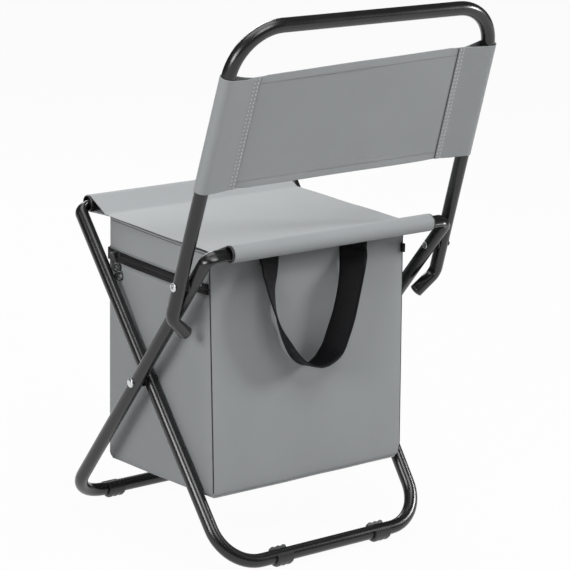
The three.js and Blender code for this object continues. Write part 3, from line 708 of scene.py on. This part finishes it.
def make_tip_plugs():
    """Round caps in the ends of the backrest tube, which bear on the outer legs."""
    route = backrest_route()
    profile = [(0, -6.0), (6.5, -6.0), (6.5, 0.05), (8.0, 0.05), (8.15, 0.6)]
    profile += [(8.1 * math.cos(a), 0.7 + 2.8 * math.sin(a)) for a in np.linspace(0.1, 1.45, 8)]
    for side, tip, inner in (("left", route[0], route[1]), ("right", route[-1], route[-2])):
        cap = turned(profile + [(0, 3.5)], tip, tip - inner, 32)
        plug = solid_piece(f"backrest_tip_cap_{side}", cap, PLASTIC)
        settle(plug, "backrest", "black_plastic", f"backrest_tip_plug_{side}")


# Cloth in general

FLAP_STEPS = 4
PLY_STEPS = 7
ARC_STEPS = 27


def running_length(grid, axis):
    """Metres along one axis of a grid of points, from its first row or column."""
    steps = np.linalg.norm(np.diff(grid, axis=axis), axis=2)
    return np.insert(np.cumsum(steps, axis=axis), 0, 0.0, axis=axis) * 0.001


def sheet_piece(name, grid, thickness, material, offset=0.0):
    """A closed ply from a grid of points; the map's U runs along the columns in metres."""
    grid = np.asarray(grid, float)
    piece = mesh_piece(name, grid.reshape(-1, 3), grid_faces(*grid.shape[:2]), material)
    layer = piece.data.uv_layers.new(name="along")
    corner = np.empty(len(piece.data.loops), int)
    piece.data.loops.foreach_get("vertex_index", corner)
    pairs = np.stack([running_length(grid, axis).ravel()[corner] for axis in (1, 0)], axis=1)
    layer.data.foreach_set("uv", pairs.ravel())
    return thickened(piece, thickness, offset)


def grid_normals(grid):
    normal = np.cross(np.gradient(grid, axis=1), np.gradient(grid, axis=0))
    return normal / np.linalg.norm(normal, axis=2, keepdims=True)


def path_length(points):
    """Millimetres along a row of points."""
    return float(np.linalg.norm(np.diff(points, axis=0), axis=1).sum())


def straight(first, last, count):
    """Points from the first towards the last, without the last."""
    share = np.linspace(0, 1, count, endpoint=False)[:, None]
    return np.array(first) + share * (np.array(last, float) - np.array(first))


def sleeve_path(reach, drop, ply, flap):
    """Round a tube from a seam and back, as (inwards, up) from its axis: flap and lower ply first."""
    distance = math.hypot(reach, drop)
    middle = math.atan2(-drop, reach)
    spread = math.acos(ply / distance)
    turns = np.linspace(middle - spread, middle + spread - 2 * math.pi, ARC_STEPS)
    arc = np.stack((ply * np.cos(turns), ply * np.sin(turns)), axis=1)
    seam = np.array((reach, -drop))
    under = seam - (0, 1.0)
    below = (straight(under + (flap, 0), under, FLAP_STEPS), straight(under, arc[0], PLY_STEPS))
    return np.concatenate((*below, arc, straight(arc[-1], seam, PLY_STEPS)[1:]))


# Backrest cloth


def cloth_up(x, share):
    """How far up the backrest a share of the cloth's height lies; the cloth hangs a little askew."""
    slack_run, low_slack, top_slack, top_skew = 38, 2.7, 3.2, 0.011
    across = 0.5 - 0.5 * x / BACK_HALF
    low = BACK_CLOTH_LOW[0] + (BACK_CLOTH_LOW[1] - BACK_CLOTH_LOW[0]) * across
    high = BACK_CLOTH_HIGH[0] + (BACK_CLOTH_HIGH[1] - BACK_CLOTH_HIGH[0]) * across
    slack = smoothstep((BACK_HALF - abs(x)) / slack_run)
    low -= low_slack * slack
    high -= (top_slack + top_skew * x) * slack
    return low + (high - low) * share


def make_backrest_cloth():
    """A band whose ends turn round the uprights from the front and are sewn flat on its rear face."""
    flap, flat_edge, edge_run = 8.6, 20, 8
    hem, hem_run, low_roll, top_roll = 0.07, 0.075, 1.3, 1.6
    slack_size, slack_depth = 75.0, 1.2
    edge_rows = np.array((0.0, 0.005, 0.055, hem))
    shares = np.concatenate((edge_rows, np.linspace(0.11, 0.89, 21), 1 - edge_rows[::-1]))
    sleeve = sleeve_path(BACK_SEAM, 0.0, TUBE_R + SLEEVE_GAP, flap)
    grid = []
    for share in shares:
        half = upright_half(cloth_up(0, share))
        left = [(half - inwards, -up) for inwards, up in sleeve]
        seam = half - BACK_SEAM
        middle = [(x, 0.0) for x in np.linspace(seam, -seam, 61)]
        right = [(-x, back) for x, back in reversed(left)]
        grid.append([on_backrest(x, cloth_up(x, share), back) for x, back in left + middle + right])
    grid = np.array(grid)
    inboard = smoothstep((BACK_HALF - BACK_SEAM - flat_edge - np.abs(grid[:, :, 0])) / edge_run)
    top, low = (smoothstep((hem - edge) / hem_run) for edge in (1 - shares, shares))
    soft = ripple(grid * (1, 1, 0.6), slack_size, 1).reshape(len(shares), -1) * slack_depth
    rolled = (low_roll * low - top_roll * top)[:, None]
    grid = grid + grid_normals(grid) * (inboard * (rolled + soft))[:, :, None]
    cloth = sheet_piece("backrest_band", grid, CLOTH_PLY, CLOTH)
    settle(cloth, "backrest", "grey_cloth", "backrest_cloth")
    return cloth, (path_length(grid[len(grid) // 2]), path_length(grid[:, grid.shape[1] // 2]))


def make_backrest_stitches():
    """Two rows through each sleeve's flap, the flap's raw edge, dark partly from black thread and partly from
    painted shade in the gap, and a row along each hem.
    """
    row_places, raw_edge_place, hem_shares = (2.0, 6.4), 8.9, (0.062, 0.938)
    shares = np.linspace(0.015, 0.985, 63)
    seam = [upright_half(cloth_up(0, s)) - BACK_SEAM for s in shares]

    def column(sign, inwards, back):
        across = [sign * (x - inwards) for x in seam]
        return [on_backrest(x, cloth_up(x, s), back) for x, s in zip(across, shares)]

    rows = [column(sign, inwards, 1.25) for _, sign in SIDES for inwards in row_places]
    edges = [column(sign, raw_edge_place, 0.8) for _, sign in SIDES]
    reach = upright_half(180) - BACK_SEAM - 10
    low, top = (
        [[on_backrest(x, cloth_up(x, share), 0.7) for x in np.linspace(reach, -reach, 60)]]
        for share in hem_shares
    )
    seam_thread = {"Pitch": 0.0046, "Stitch": 0.0014, "Radius": 0.0006}
    raw_edge = {"Pitch": 0.0021, "Stitch": 0.0015, "Radius": 0.0005}
    hem_pitch = 0.0036
    pieces = [
        grown("backrest_seam_stitches", STITCH_TREE, rows, THREAD, **seam_thread),
        # Raw edges: dark partly as black thread, partly as painted shade in the gap beside the flap.
        grown("backrest_raw_edges", STITCH_TREE, edges, PAINTED_SEAM_SHADE, **raw_edge),
        grown("backrest_low_hem_stitches", STITCH_TREE, low, CLOTH, Pitch=hem_pitch),
        grown("backrest_top_hem_stitches", STITCH_TREE, top, DARK_THREAD, Pitch=hem_pitch),
    ]
    for piece in pieces:
        settle(piece, "backrest", "grey_cloth")
    return pieces


# Seat cloth


def seat_path():
    """The seat cloth from the front flap, round the front bar, over the seat, to the rear flap: (y, z)."""
    halves = {}
    for end, reach in SEAT_REACH.items():
        sleeve = sleeve_path(reach, SEAT_LOW, BAR_R + SLEEVE_GAP, 5.0)
        halves[end] = np.stack((sleeve[:, 0] - BAR_Y, sleeve[:, 1] + BAR_Z), axis=1)
    run = np.linspace(SEAT_REACH["front"] - BAR_Y, BAR_Y - SEAT_REACH["rear"], 55)
    middle = np.stack((run, np.full(len(run), BAR_Z - SEAT_LOW)), axis=1)
    return np.concatenate((halves["front"], middle, (halves["rear"] * (-1, 1))[::-1]))


def bend_with_legs(piece):
    """Bakes the piece's placement into its mesh."""
    frame_point(0, -BAR_Y, BAR_Z)
    frame_point(0, BAR_Y, BAR_Z)
    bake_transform(piece)


def seat_sag(x, y):
    deepest, held = 1.4, 0.6
    inside = np.clip(1 - (np.asarray(y) / SEAT_OPEN) ** 2, 0, 1)
    return -deepest * inside * (1 - (np.asarray(x) / BAR_HALF) ** 2 * held)


def make_seat_cloth():
    """One cloth with both sleeves, a little slack between the bars."""
    path = seat_path()
    slack_size, slack_depth, slack_run = 70.0, 1.1, 25.0
    edge = np.array([SEAT_HALF, SEAT_HALF - 0.8])
    across = np.concatenate((edge, np.linspace(SEAT_HALF - 3, 3 - SEAT_HALF, 47), -edge[::-1]))
    grid = np.array([[(x, y, z) for y, z in path] for x in across])
    order = np.arange(len(path))
    turned_under = FLAP_STEPS + PLY_STEPS + ARC_STEPS
    top = (order >= turned_under) & (order < len(path) - turned_under)
    soft = ripple(grid, slack_size, 2).reshape(grid.shape[:2]) * slack_depth
    inside = np.clip((SEAT_OPEN - np.abs(grid[:, :, 1])) / slack_run, 0, 1)
    grid[:, :, 2] += np.where(top, seat_sag(grid[:, :, 0], grid[:, :, 1]) + soft * inside, 0.0)
    cloth = sheet_piece("seat_cloth", grid, CLOTH_PLY, CLOTH)
    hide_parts("seat_panel", "seat_front_sleeve", "seat_rear_sleeve")
    bend_with_legs(cloth)
    return cloth, (2 * SEAT_HALF, path_length(path))


def make_seat_trim():
    """A fold sewn under both side edges of the seat, with a thin near-black line of painted shadow in the gap
    above and below it.
    """
    front_end, rear_lean, ply = -97.0, 2.2, 0.7
    ys = np.linspace(front_end, BAG_REAR + 1, 70)
    level = BAR_Z - SEAT_LOW + seat_sag(SEAT_HALF, ys)
    behind = smoothstep((ys - BAG_FRONT) / (BAG_REAR - BAG_FRONT))
    lean = {"left": rear_lean * behind, "right": 0.0 * ys}
    seams, pieces = [], []
    for side, sign in SIDES:
        grid = []
        for out, drop in ((0.2, 0.9), (0.5, 1.6), (0.5, 2.6), (0.3, 3.4)):
            grid.append(np.stack((sign * (SEAT_HALF - 1.2 + out) + lean[side], ys, level - drop), axis=1))
        pieces.append(sheet_piece(f"seat_edge_fold_{side}", grid, ply, CLOTH))
        # Two thin near-black lines: painted shadow in the gaps above and below the fold.
        for out, drop in ((0.1, 0.75), (-0.9, 3.9)):
            seams.append(np.stack((sign * (SEAT_HALF + out) + lean[side], ys, level - drop), axis=1))
    pieces.append(grown("seat_edge_gap_shadows", TUBE_TREE, seams, PAINTED_SEAM_SHADE, Radius=0.0004, Sides=6))
    for piece in pieces:
        bend_with_legs(piece)
    return pieces


# Bag


class Outline:
    """The bag's rounded rectangle seen from above, from the front left corner rearwards and round."""

    def __init__(self, inset=0.0):
        half, front, rear = BAG_HALF - inset, BAG_FRONT + inset, BAG_REAR - inset
        r = max(BAG_CORNER - inset, 2.0)
        sides = [
            ((half, front + r), (half, rear - r), (1, 0), 39),
            ((half - r, rear), (-half + r, rear), (0, 1), 47),
            ((-half, rear - r), (-half, front + r), (-1, 0), 39),
            ((-half + r, front), (half - r, front), (0, -1), 47),
        ]
        points, normals, middles, self.starts = [], [], [], []
        for k, (first, last, normal, count) in enumerate(sides):
            first, last, normal = np.array(first), np.array(last), np.array(normal, float)
            following = np.array(sides[(k + 1) % 4][2], float)
            self.starts.append(len(points))
            for t in np.linspace(0, 1, count):
                points.append(first + (last - first) * t)
                normals.append(normal)
                middles.append(math.sin(math.pi * t) ** 0.4)
            for turn in np.linspace(0, math.pi / 2, CORNER_STEPS + 2)[1:-1]:
                out = normal * math.cos(turn) + following * math.sin(turn)
                points.append(last - normal * r + out * r)
                normals.append(out)
                middles.append(0.0)
        self.points, self.normals, self.middles = np.array(points), np.array(normals), np.array(middles)

    def rear_columns(self):
        """From the rear end of the left side, over the rear wall, to the right side."""
        return np.arange(self.starts[1] - CORNER_STEPS - 1, self.starts[2] + 1)

    def zip_columns(self):
        """The other three sides: right, front and left."""
        count = len(self.points)
        return np.arange(self.starts[2], count + self.starts[1] - CORNER_STEPS) % count

    def ring(self, z):
        return np.stack((*self.points.T, np.full(len(self.points), z)), axis=1)


OUTLINE = Outline()
EVERYWHERE = np.arange(len(OUTLINE.points))


def hung(points):
    """The bag as it hangs: its floor rises to the rear, and its rear top leans to the left."""
    sway, widening, forward = 3.3, 0.0147, 4.6
    lean_from, lean_height = 95, 250
    floor_slope, floor_drop = 0.06, 1.8
    tuck_share, tuck_height = 0.04, 26
    points = np.array(points, float)
    height = np.clip((points[:, 2] - BAG_BOTTOM) / (BAG_TOP - BAG_BOTTOM), 0, 1)
    behind = smoothstep((points[:, 1] - BAG_FRONT) / (BAG_REAR - BAG_FRONT))
    rise = np.clip((points[:, 2] - lean_from) / lean_height, 0, 1)
    points[:, 0] += behind * rise * (sway + widening * points[:, 0])
    points[:, 1] -= forward * behind * rise
    points[:, 2] += (1 - height**2) * (floor_slope * points[:, 1] - floor_drop)
    low = 1 - smoothstep((points[:, 2] - BAG_BOTTOM + 4) / tuck_height)
    points[:, 0] *= 1 - tuck_share * behind * (points[:, 0] < 0) * low
    return points


def wall_points(columns, z, lean=0.0, outline=OUTLINE):
    """Points of the bag's outer wall at one height: bulged between the edges, with soft upright folds."""
    belly_depth, zip_belly, zip_spread = 3.0, 3.2, 26
    fold_size, fold_depth, fold_top, fold_fade = 46.0, 1.3, 350, 14
    height = (z - BAG_BOTTOM) / (BAG_TOP - BAG_BOTTOM)
    flat = outline.ring(z)[columns]
    middles = OUTLINE.middles[columns]
    fullness = middles * math.sin(math.pi * min(max(height, 0.0), 1.0)) ** 0.6
    folds = ripple(flat * (1, 1, 0.28), fold_size, 3) * fold_depth * middles
    belly = belly_depth * fullness + zip_belly * middles * math.exp(-(((z - ZIP_Z) / zip_spread) ** 2))
    out = belly + folds * (1 - smoothstep((z - fold_top) / fold_fade)) + lean
    flat[:, :2] += outline.normals[columns] * out[:, None]
    return hung(flat)


def squash_with_legs(piece):
    """Gives the piece its own copy of its mesh."""
    frame_point(0, 0, 0)
    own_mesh(piece)


def bag_piece(piece, body, slot, *nodes):
    """A piece of the bag, tied to its body and given its own copy of its mesh."""
    settle(piece, body, slot, *nodes)
    squash_with_legs(piece)
    return piece


def make_bag_walls():
    """One shell: floor, rounded bottom edge, four walls to the zip, and the rear wall up to the seat."""
    rows = []
    for turn in np.linspace(0, math.pi / 2, 6)[:-1]:
        level = BAG_BOTTOM + WALL_FOLD * (1 - math.cos(turn))
        rows.append(wall_points(EVERYWHERE, level, 0.0, Outline(WALL_FOLD * (1 - math.sin(turn)))))
    zip_low = ZIP_Z - ZIP_HALF
    rows.extend(wall_points(EVERYWHERE, z) for z in np.linspace(BAG_BOTTOM + WALL_FOLD, zip_low, 31))
    centre = np.mean(rows[0], axis=0)
    floor_sag = 2.5
    floor = []
    for share in (0.15, 0.35, 0.55, 0.75, 0.92):
        ring = centre + (rows[0] - centre) * share
        ring[:, 2] -= floor_sag * (1 - share**2)
        floor.append(ring)
    loops = floor + rows
    columns = len(EVERYWHERE)
    points = [centre - (0, 0, floor_sag)] + [p for loop in loops for p in loop]
    faces = [(0, 1 + (k + 1) % columns, 1 + k) for k in range(columns)]
    faces += grid_faces(len(loops), columns, wrap=True, start=1)
    rear = OUTLINE.rear_columns()
    below = [1 + columns * (len(loops) - 1) + c for c in rear]
    for z in np.linspace(zip_low, BAG_TOP, 7)[1:]:
        above = list(range(len(points), len(points) + len(rear)))
        points.extend(wall_points(rear, z))
        faces.extend(zip(below, below[1:], above[1:], above))
        below = above
    walls = thickened(mesh_piece("bag_walls", points, faces, CLOTH), 1.2)
    return bag_piece(walls, "bag", "grey_cloth", "bag_shell")


def make_bag_lining():
    """Foil-faced insulation: a rim behind the zip, walls, and a floor over the foam pad."""
    wall, rim_inset, quilt_pitch = 8.0, 1.6, 62.0
    crease_size, crease_depth = 30.0, 0.7
    inner = Outline(wall)
    count = len(inner.points)
    top, floor = ZIP_Z - ZIP_HALF - 0.9, 89.0
    rim = OUTLINE.ring(top + 0.3)
    rim[:, :2] -= OUTLINE.normals * rim_inset
    loops = [rim]
    for z in np.linspace(top, floor + 3, 25):
        ring = inner.ring(z)
        quilt = abs(math.sin(math.pi * (z - floor) / quilt_pitch))
        quilt = quilt + ripple(ring, crease_size, 4) * crease_depth
        ring[:, :2] -= inner.normals * (inner.middles * quilt)[:, None]
        loops.append(ring)
    centre = np.array((0, (BAG_FRONT + BAG_REAR) / 2, floor))
    edge = loops[-1]
    for share in (0.97, 0.75, 0.5, 0.25):
        ring = centre + (edge - centre) * share
        ring[:, 2] = floor
        loops.append(ring)
    points = hung([p for loop in loops for p in loop] + [centre])
    faces = grid_faces(len(loops), count, wrap=True)
    last = count * (len(loops) - 1)
    faces += [(last + k, last + (k + 1) % count, len(points) - 1) for k in range(count)]
    lining = thickened(mesh_piece("bag_lining", points, faces, FOIL), 0.8, 1.0)
    bag_piece(lining, "bag", "foil_liner", "bag_insulation", "bag_liner", "bag_floor_pad")


def make_collar_and_zip():
    """The band under the seat and the zip below it, on three sides; the zip bulges where its sliders meet."""
    tape_offsets, tape_out = (0.4, 3, ZIP_HALF + 0.6), 0.35
    seam_offset, seam_out, collar_out = ZIP_HALF + 2.2, 0.2, 0.8
    columns = OUTLINE.zip_columns()
    low, high = ZIP_Z + ZIP_HALF, BAG_TOP - 0.3
    leaning = collar_out * OUTLINE.middles[columns]
    collar = []
    for z in np.linspace(low, high, 9):
        collar.append(wall_points(columns, z, leaning * smoothstep((z - low) / (high - low))))
    piece = sheet_piece("collar_cloth", collar, 1.0, CLOTH, -1.0)
    bag_piece(piece, "seat", "grey_cloth", "bag_collar")
    corner = np.linalg.norm(OUTLINE.points[columns] - (BAG_HALF, BAG_FRONT), axis=1)
    bulge_height, bulge_spread = 2.6, 9.0
    bulge = bulge_height * np.exp(-((corner / bulge_spread) ** 2))
    for side, body, up in (("upper", "seat", 1), ("lower", "bag", -1)):
        levels = sorted(ZIP_Z + up * offset for offset in tape_offsets)
        tape = [wall_points(columns, z, tape_out + bulge) for z in levels]
        piece = sheet_piece(f"{side}_zip_tape", tape, 0.8, ZIP_TAPE, -1.0)
        bag_piece(piece, body, "black_webbing", f"zip_tape_{side}")
        seam = wall_points(columns, ZIP_Z + up * seam_offset, seam_out)
        stitches = grown(f"zip_seam_stitches_{side}", STITCH_TREE, [seam], DARK_THREAD)
        bag_piece(stitches, body, "grey_cloth")
    teeth = grown("zip_teeth", TEETH_TREE, [wall_points(columns, ZIP_Z, bulge - tape_out)], ZIP_COIL)
    bag_piece(teeth, "seat", "black_plastic", "zip_coil")
    turned_end = [(x, y, z) for x in (-0.5, -4.2) for y, z in ((-6.5, 9), (0.4, 9), (0.4, 19), (-6.5, 19))]
    place = np.array((-BAG_HALF + 6.2, BAG_REAR, ZIP_Z))
    tab = solid_piece("zip_tape_end", ([place + p for p in turned_end], BOX_FACES), ZIP_TAPE, 35.0)
    bag_piece(tab, "seat", "black_webbing")


def make_bag_piping():
    """A rolled edge round the floor and at the front corners, and a near-black line of painted shade in the
    seam's groove down each rear corner.
    """
    half_turn = WALL_FOLD * (1 - math.sqrt(0.5))
    base = wall_points(EVERYWHERE, BAG_BOTTOM + half_turn, -0.3, Outline(half_turn))
    ring = grown("bag_floor_piping", TUBE_TREE, [base], CLOTH, closed=True, Radius=0.0011, Sides=8)
    bag_piece(ring, "bag", "grey_cloth")
    middle = (CORNER_STEPS + 1) // 2
    rear = (OUTLINE.starts[1] - middle - 1, OUTLINE.starts[2] - middle + 1)
    front = (OUTLINE.starts[3] - middle, len(OUTLINE.points) - middle)
    for name, corners, top, steps, lean, finish, radius in (
        # The rear corner lines are painted shade in the seam's groove.
        ("bag_rear_seam_shade", rear, BAG_TOP - 1, 50, 0.15, PAINTED_SEAM_SHADE, 0.0007),
        ("bag_front_piping", front, ZIP_Z - ZIP_HALF - 1, 40, -0.2, CLOTH, 0.0008),
    ):
        heights = np.linspace(BAG_BOTTOM + WALL_FOLD, top, steps)
        routes = [[wall_points([column], z, lean)[0] for z in heights] for column in corners]
        bag_piece(grown(name, TUBE_TREE, routes, finish, Radius=radius, Sides=8), "bag", "grey_cloth")


# Zip pulls


def plate(outline, levels):
    """A moulded plate: the outline (along, up) scaled about its middle at each level out from the wall."""
    middle = np.mean(outline, axis=0)
    points = []
    for out, scale in levels:
        points.extend((*(middle + (np.array(p) - middle) * scale), out) for p in outline)
    count = len(outline)
    faces = grid_faces(len(levels), count, wrap=True)
    faces.append(list(range(count))[::-1])
    faces.append([count * (len(levels) - 1) + k for k in range(count)])
    return points, faces


def pull_eye(up, outer, inner):
    """One ring of a pull, as a closed band round its hole."""
    section = [(outer, 4.3), (outer, 5.8), (outer - 0.7, 6.4), (inner + 0.7, 6.4), (inner, 5.8), (inner, 4.3)]
    points, faces = turned(section, (0, 0, 0), (1, 0, 0), 24, True)
    return [(along, up + high, out) for out, along, high in points], faces


def slot_outline(half_width, top, bottom):
    """A tab with round ends."""
    turns = np.linspace(0, math.pi, 13)
    upper = [(half_width * math.cos(a), top - half_width + half_width * math.sin(a)) for a in turns]
    lower = [(-half_width * math.cos(a), bottom + half_width - half_width * math.sin(a)) for a in turns]
    return upper + lower


def slider_solid():
    """A slider's body and the bridge that holds its pull."""
    outline = [(-7, -3.2), (-6, -4.4), (6, -3.8), (7.2, -2), (7.2, 2), (6, 3.8), (-6, 4.4), (-7, 3.2)]
    body = plate(outline, [(0.9, 0.94), (1.3, 1.0), (3.6, 1.0), (4.4, 0.86)])
    bridge = plate(slot_outline(1.3, 4.4, -4.4), [(4.0, 1.0), (6.2, 1.0), (7.0, 0.8)])
    return joined(body, bridge)


def pull_solid():
    """Two eyes in a thick rim under a tab, hanging aslant and turned a little out from the wall."""
    tab = plate(slot_outline(3.0, 5.0, -11.0), [(4.0, 0.9), (4.4, 1.0), (5.7, 1.0), (6.1, 0.9)])
    points, faces = joined(pull_eye(-14.0, 5.8, 2.2), pull_eye(-25.0, 6.2, 3.2), tab)
    turn, sway = math.radians(38), math.radians(22)
    hanging = []
    for a, u, o in points:
        along, up = a * math.cos(sway) - u * math.sin(sway), a * math.sin(sway) + u * math.cos(sway)
        hanging.append((along * math.cos(turn) + 2.0, up, 7.0 - (along - 6) * math.sin(turn) + (o - 5.0)))
    return hanging, faces


def make_zip_pulls():
    """Moulded sliders and their pulls; along, up and out from the wall become a place on it."""
    left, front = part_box("zip_slider_left"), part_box("zip_slider_front")
    along_left = 500 * (left[0].y + left[1].y) - PIVOT_SHIFT + 3
    along_front = 500 * (front[0].x + front[1].x)
    spots = {
        "left": lambda a, u, o: (BAG_HALF + o, along_left + a, ZIP_Z + u),
        "front": lambda a, u, o: (along_front + a, BAG_FRONT - o, ZIP_Z + u),
    }
    for side, spot in spots.items():
        for kind, (points, faces) in (("slider", slider_solid()), ("pull", pull_solid())):
            solid = ([spot(*p) for p in points], faces)
            piece = solid_piece(f"{side}_zip_{kind}", solid, PLASTIC, 45.0)
            bag_piece(piece, f"{side}_{kind}", "black_plastic", f"zip_{kind}_{side}")


# Carry handle


def strap_route():
    """Middle of the hanging handle from its left seam to its right one, and the twist of its width."""
    knots = [
        (64.8, 111.2, 368.0, 6),
        (65.4, 113.2, 358.0, 10),
        (66.8, 116.8, 348.0, 17),
        (68.4, 121.0, 337.0, 27),
        (68.4, 125.0, 318.0, 44),
        (62.0, 128.0, 288.0, 60),
        (52.0, 128.5, 266.0, 73),
        (43.0, 130.0, 249.0, 82),
        (31.0, 130.0, 234.5, 91),
        (14.5, 130.0, 225.0, 98),
        (-1.5, 129.5, 227.5, 90),
        (-17.1, 128.1, 239.0, 76),
        (-25.9, 127.4, 257.1, 73),
        (-33.6, 127.2, 277.6, 74),
        (-38.6, 127.9, 301.3, 74),
        (-41.8, 128.6, 322.9, 68),
        (-46.0, 126.0, 342.0, 52),
        (-51.0, 119.0, 352.0, 36),
        (-55.6, 114.8, 360.5, 18),
        (-57.0, 112.6, 368.5, 8),
    ]
    knots = np.array(knots, float)
    spaced = np.concatenate(([0], np.cumsum(np.linalg.norm(np.diff(knots[:, :3], axis=0), axis=1))))
    ends = np.concatenate((2 * knots[:1] - knots[1:2], knots, 2 * knots[-1:] - knots[-2:-1]))
    route = []
    for d in np.linspace(0, spaced[-1], 200):
        k = min(int(np.searchsorted(spaced, d, side="right")) - 1, len(knots) - 2)
        t = (d - spaced[k]) / (spaced[k + 1] - spaced[k])
        a, b, c, e = ends[k : k + 4]
        rounded = (2 * a - 5 * b + 4 * c - e) * t**2 + (3 * b - a - 3 * c + e) * t**3
        route.append(0.5 * (2 * b + (c - a) * t + rounded))
    return np.array(route)


def make_handle():
    """The loop below its seams swings; the ends above them stay sewn to the bag."""
    route = strap_route()
    middle, turn = route[:, :3], np.radians(route[:, 3])
    tangent = np.gradient(middle, axis=0)
    tangent /= np.linalg.norm(tangent, axis=1, keepdims=True)
    outwards = np.array((0, 1, 0)) - tangent * tangent[:, 1:2]
    outwards /= np.linalg.norm(outwards, axis=1, keepdims=True)
    width = np.cross(tangent, outwards) * np.cos(turn)[:, None] + outwards * np.sin(turn)[:, None]
    strap = np.array([middle + width * STRAP_WIDTH * share for share in np.linspace(0.5, -0.5, 9)])
    hanging = np.flatnonzero(middle[:, 2] < STRAP_SEAM)
    first, last = hanging[0], hanging[-1]
    loop = sheet_piece("webbing_handle", strap[:, first : last + 1], STRAP_THICK, WEBBING)
    bag_piece(loop, "handle", "black_webbing", "carry_handle")
    for side, part in (("left", strap[:, : first + 1]), ("right", strap[:, last:])):
        end = sheet_piece(f"handle_seam_end_{side}", part, STRAP_THICK, WEBBING)
        bag_piece(end, "bag", "black_webbing", f"handle_end_{side}")
    return loop, (STRAP_WIDTH, path_length(middle[first : last + 1]))


def finish_small_parts():
    """Washers and caps keep their own shapes."""
    for name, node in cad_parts.items():
        for kind, finish in (("washer", PLASTIC), ("cap", ZINC)):
            if f"_{kind}_" in name:
                node.data.materials.clear()
                node.data.materials.append(finish)


make_frames()
make_seat_bars()
make_feet()
make_pivots()
make_tip_plugs()
make_backrest_cloth()
make_backrest_stitches()
make_seat_cloth()
make_seat_trim()
make_bag_walls()
make_bag_lining()
make_collar_and_zip()
make_bag_piping()
make_zip_pulls()
make_handle()
finish_small_parts()


# Camera, light and floor


def place_looking(thing, place, right, up, back):
    """Puts a camera or lamp at a place, turned to look away from its back."""
    turn = Matrix((right, up, back)).transposed().to_4x4()
    thing.matrix_world = Matrix.Translation(place) @ turn
    bpy.context.scene.collection.objects.link(thing)


def add_camera():
    """From behind the stool's left side, looking a little down."""
    yaw, pitch, roll = math.radians(36.83), math.radians(14.99), math.radians(1.12)
    focal_px, photo_px, sensor = 2398.88, 570, 36.0
    back = Vector((math.sin(yaw) * math.cos(pitch), math.cos(yaw) * math.cos(pitch), math.sin(pitch)))
    level = Vector((0, 0, 1)).cross(back).normalized()
    upright = back.cross(level)
    right = math.cos(roll) * level + math.sin(roll) * upright
    up = -math.sin(roll) * level + math.cos(roll) * upright
    data = bpy.data.cameras.new("photo_camera")
    data.sensor_width = sensor
    data.lens = sensor * focal_px / photo_px
    camera = bpy.data.objects.new("photo_camera", data)
    place = frame_point(1613.55, 2212.27, 1022.95)
    place_looking(camera, place, right, up, back)
    bpy.context.scene.camera = camera


LAMP_AIM = Vector((0, 0, 0.3))


def add_lamp(name, place, size, power, upright=(0, 0, 1)):
    """A soft panel aimed at the stool; its second size runs along the upright direction."""
    data = bpy.data.lights.new(name, "AREA")
    data.shape = "RECTANGLE"
    data.size, data.size_y = size
    data.energy = power
    back = (Vector(place) - LAMP_AIM).normalized()
    side = Vector(upright).cross(back).normalized()
    place_looking(bpy.data.objects.new(name, data), place, side, back.cross(side), back)


def seen_directly(tree):
    """1 for what the camera, a gloss or a clear material sees, 0 for other light."""
    path = tree.nodes.new("ShaderNodeLightPath").outputs
    seen = math_node(tree, "MAXIMUM", path["Is Camera Ray"], path["Is Glossy Ray"])
    return math_node(tree, "MAXIMUM", seen, path["Is Transmission Ray"])


def add_world():
    """White to the camera, and a faint fill light for the stool."""
    fill, backdrop = 0.06, 1.0
    world = bpy.data.worlds.new("white_studio")
    world.use_nodes = True
    bpy.context.scene.world = world
    tree = world.node_tree
    background = tree.nodes["Background"].inputs
    background["Color"].default_value = (1, 1, 1, 1)
    path = tree.nodes.new("ShaderNodeLightPath").outputs
    give(tree, background["Strength"], ranged(tree, path["Is Camera Ray"], fill, backdrop))


def add_floor():
    """White to the camera, with soft shadows."""
    half, glow_share = 6.0, 0.96
    mesh = bpy.data.meshes.new("pale_floor")
    corners = [(half * x, half * y, 0) for x, y in ((-1, -1), (1, -1), (1, 1), (-1, 1))]
    mesh.from_pydata(corners, [], [(0, 1, 2, 3)])
    finish = {"Roughness": 0.9, "Specular_IOR_Level": 0.0, "Base_Color": (0.5, 0.5, 0.5, 1)}
    material, tree, shader = new_material("pale_floor", **finish)
    glow = tree.nodes.new("ShaderNodeEmission")
    mix = tree.nodes.new("ShaderNodeMixShader")
    shares = (ranged(tree, seen_directly(tree), 0.0, glow_share), shader.outputs[0], glow.outputs[0])
    for socket, value in zip(mix.inputs, shares):
        give(tree, socket, value)
    give(tree, tree.nodes["Material Output"].inputs["Surface"], mix.outputs[0])
    mesh.materials.append(material)
    link_piece("pale_floor", mesh)


bpy.context.scene.view_settings.view_transform = "Standard"
add_camera()
add_world()
add_floor()
add_lamp("overhead_softbox", (0.3, 0.0, 2.3), (1.6, 1.6), 24.0, (0, 1, 0))
add_lamp("high_softbox", (0.2, 1.5, 2.1), (1.0, 1.0), 20.0)
add_lamp("right_softbox", (-2.0, 1.2, 1.1), (0.45, 0.6), 36.0)
add_lamp("left_softbox", (1.95, 0.8, 1.1), (0.7, 0.7), 18.0)
add_lamp("left_strip", (2.2, 0.34, 1.2), (0.3, 1.0), 11.0, (0.03, -0.63, 0.78))
add_lamp("front_softbox", (-0.6, -2.0, 1.6), (1.0, 1.0), 30.0)
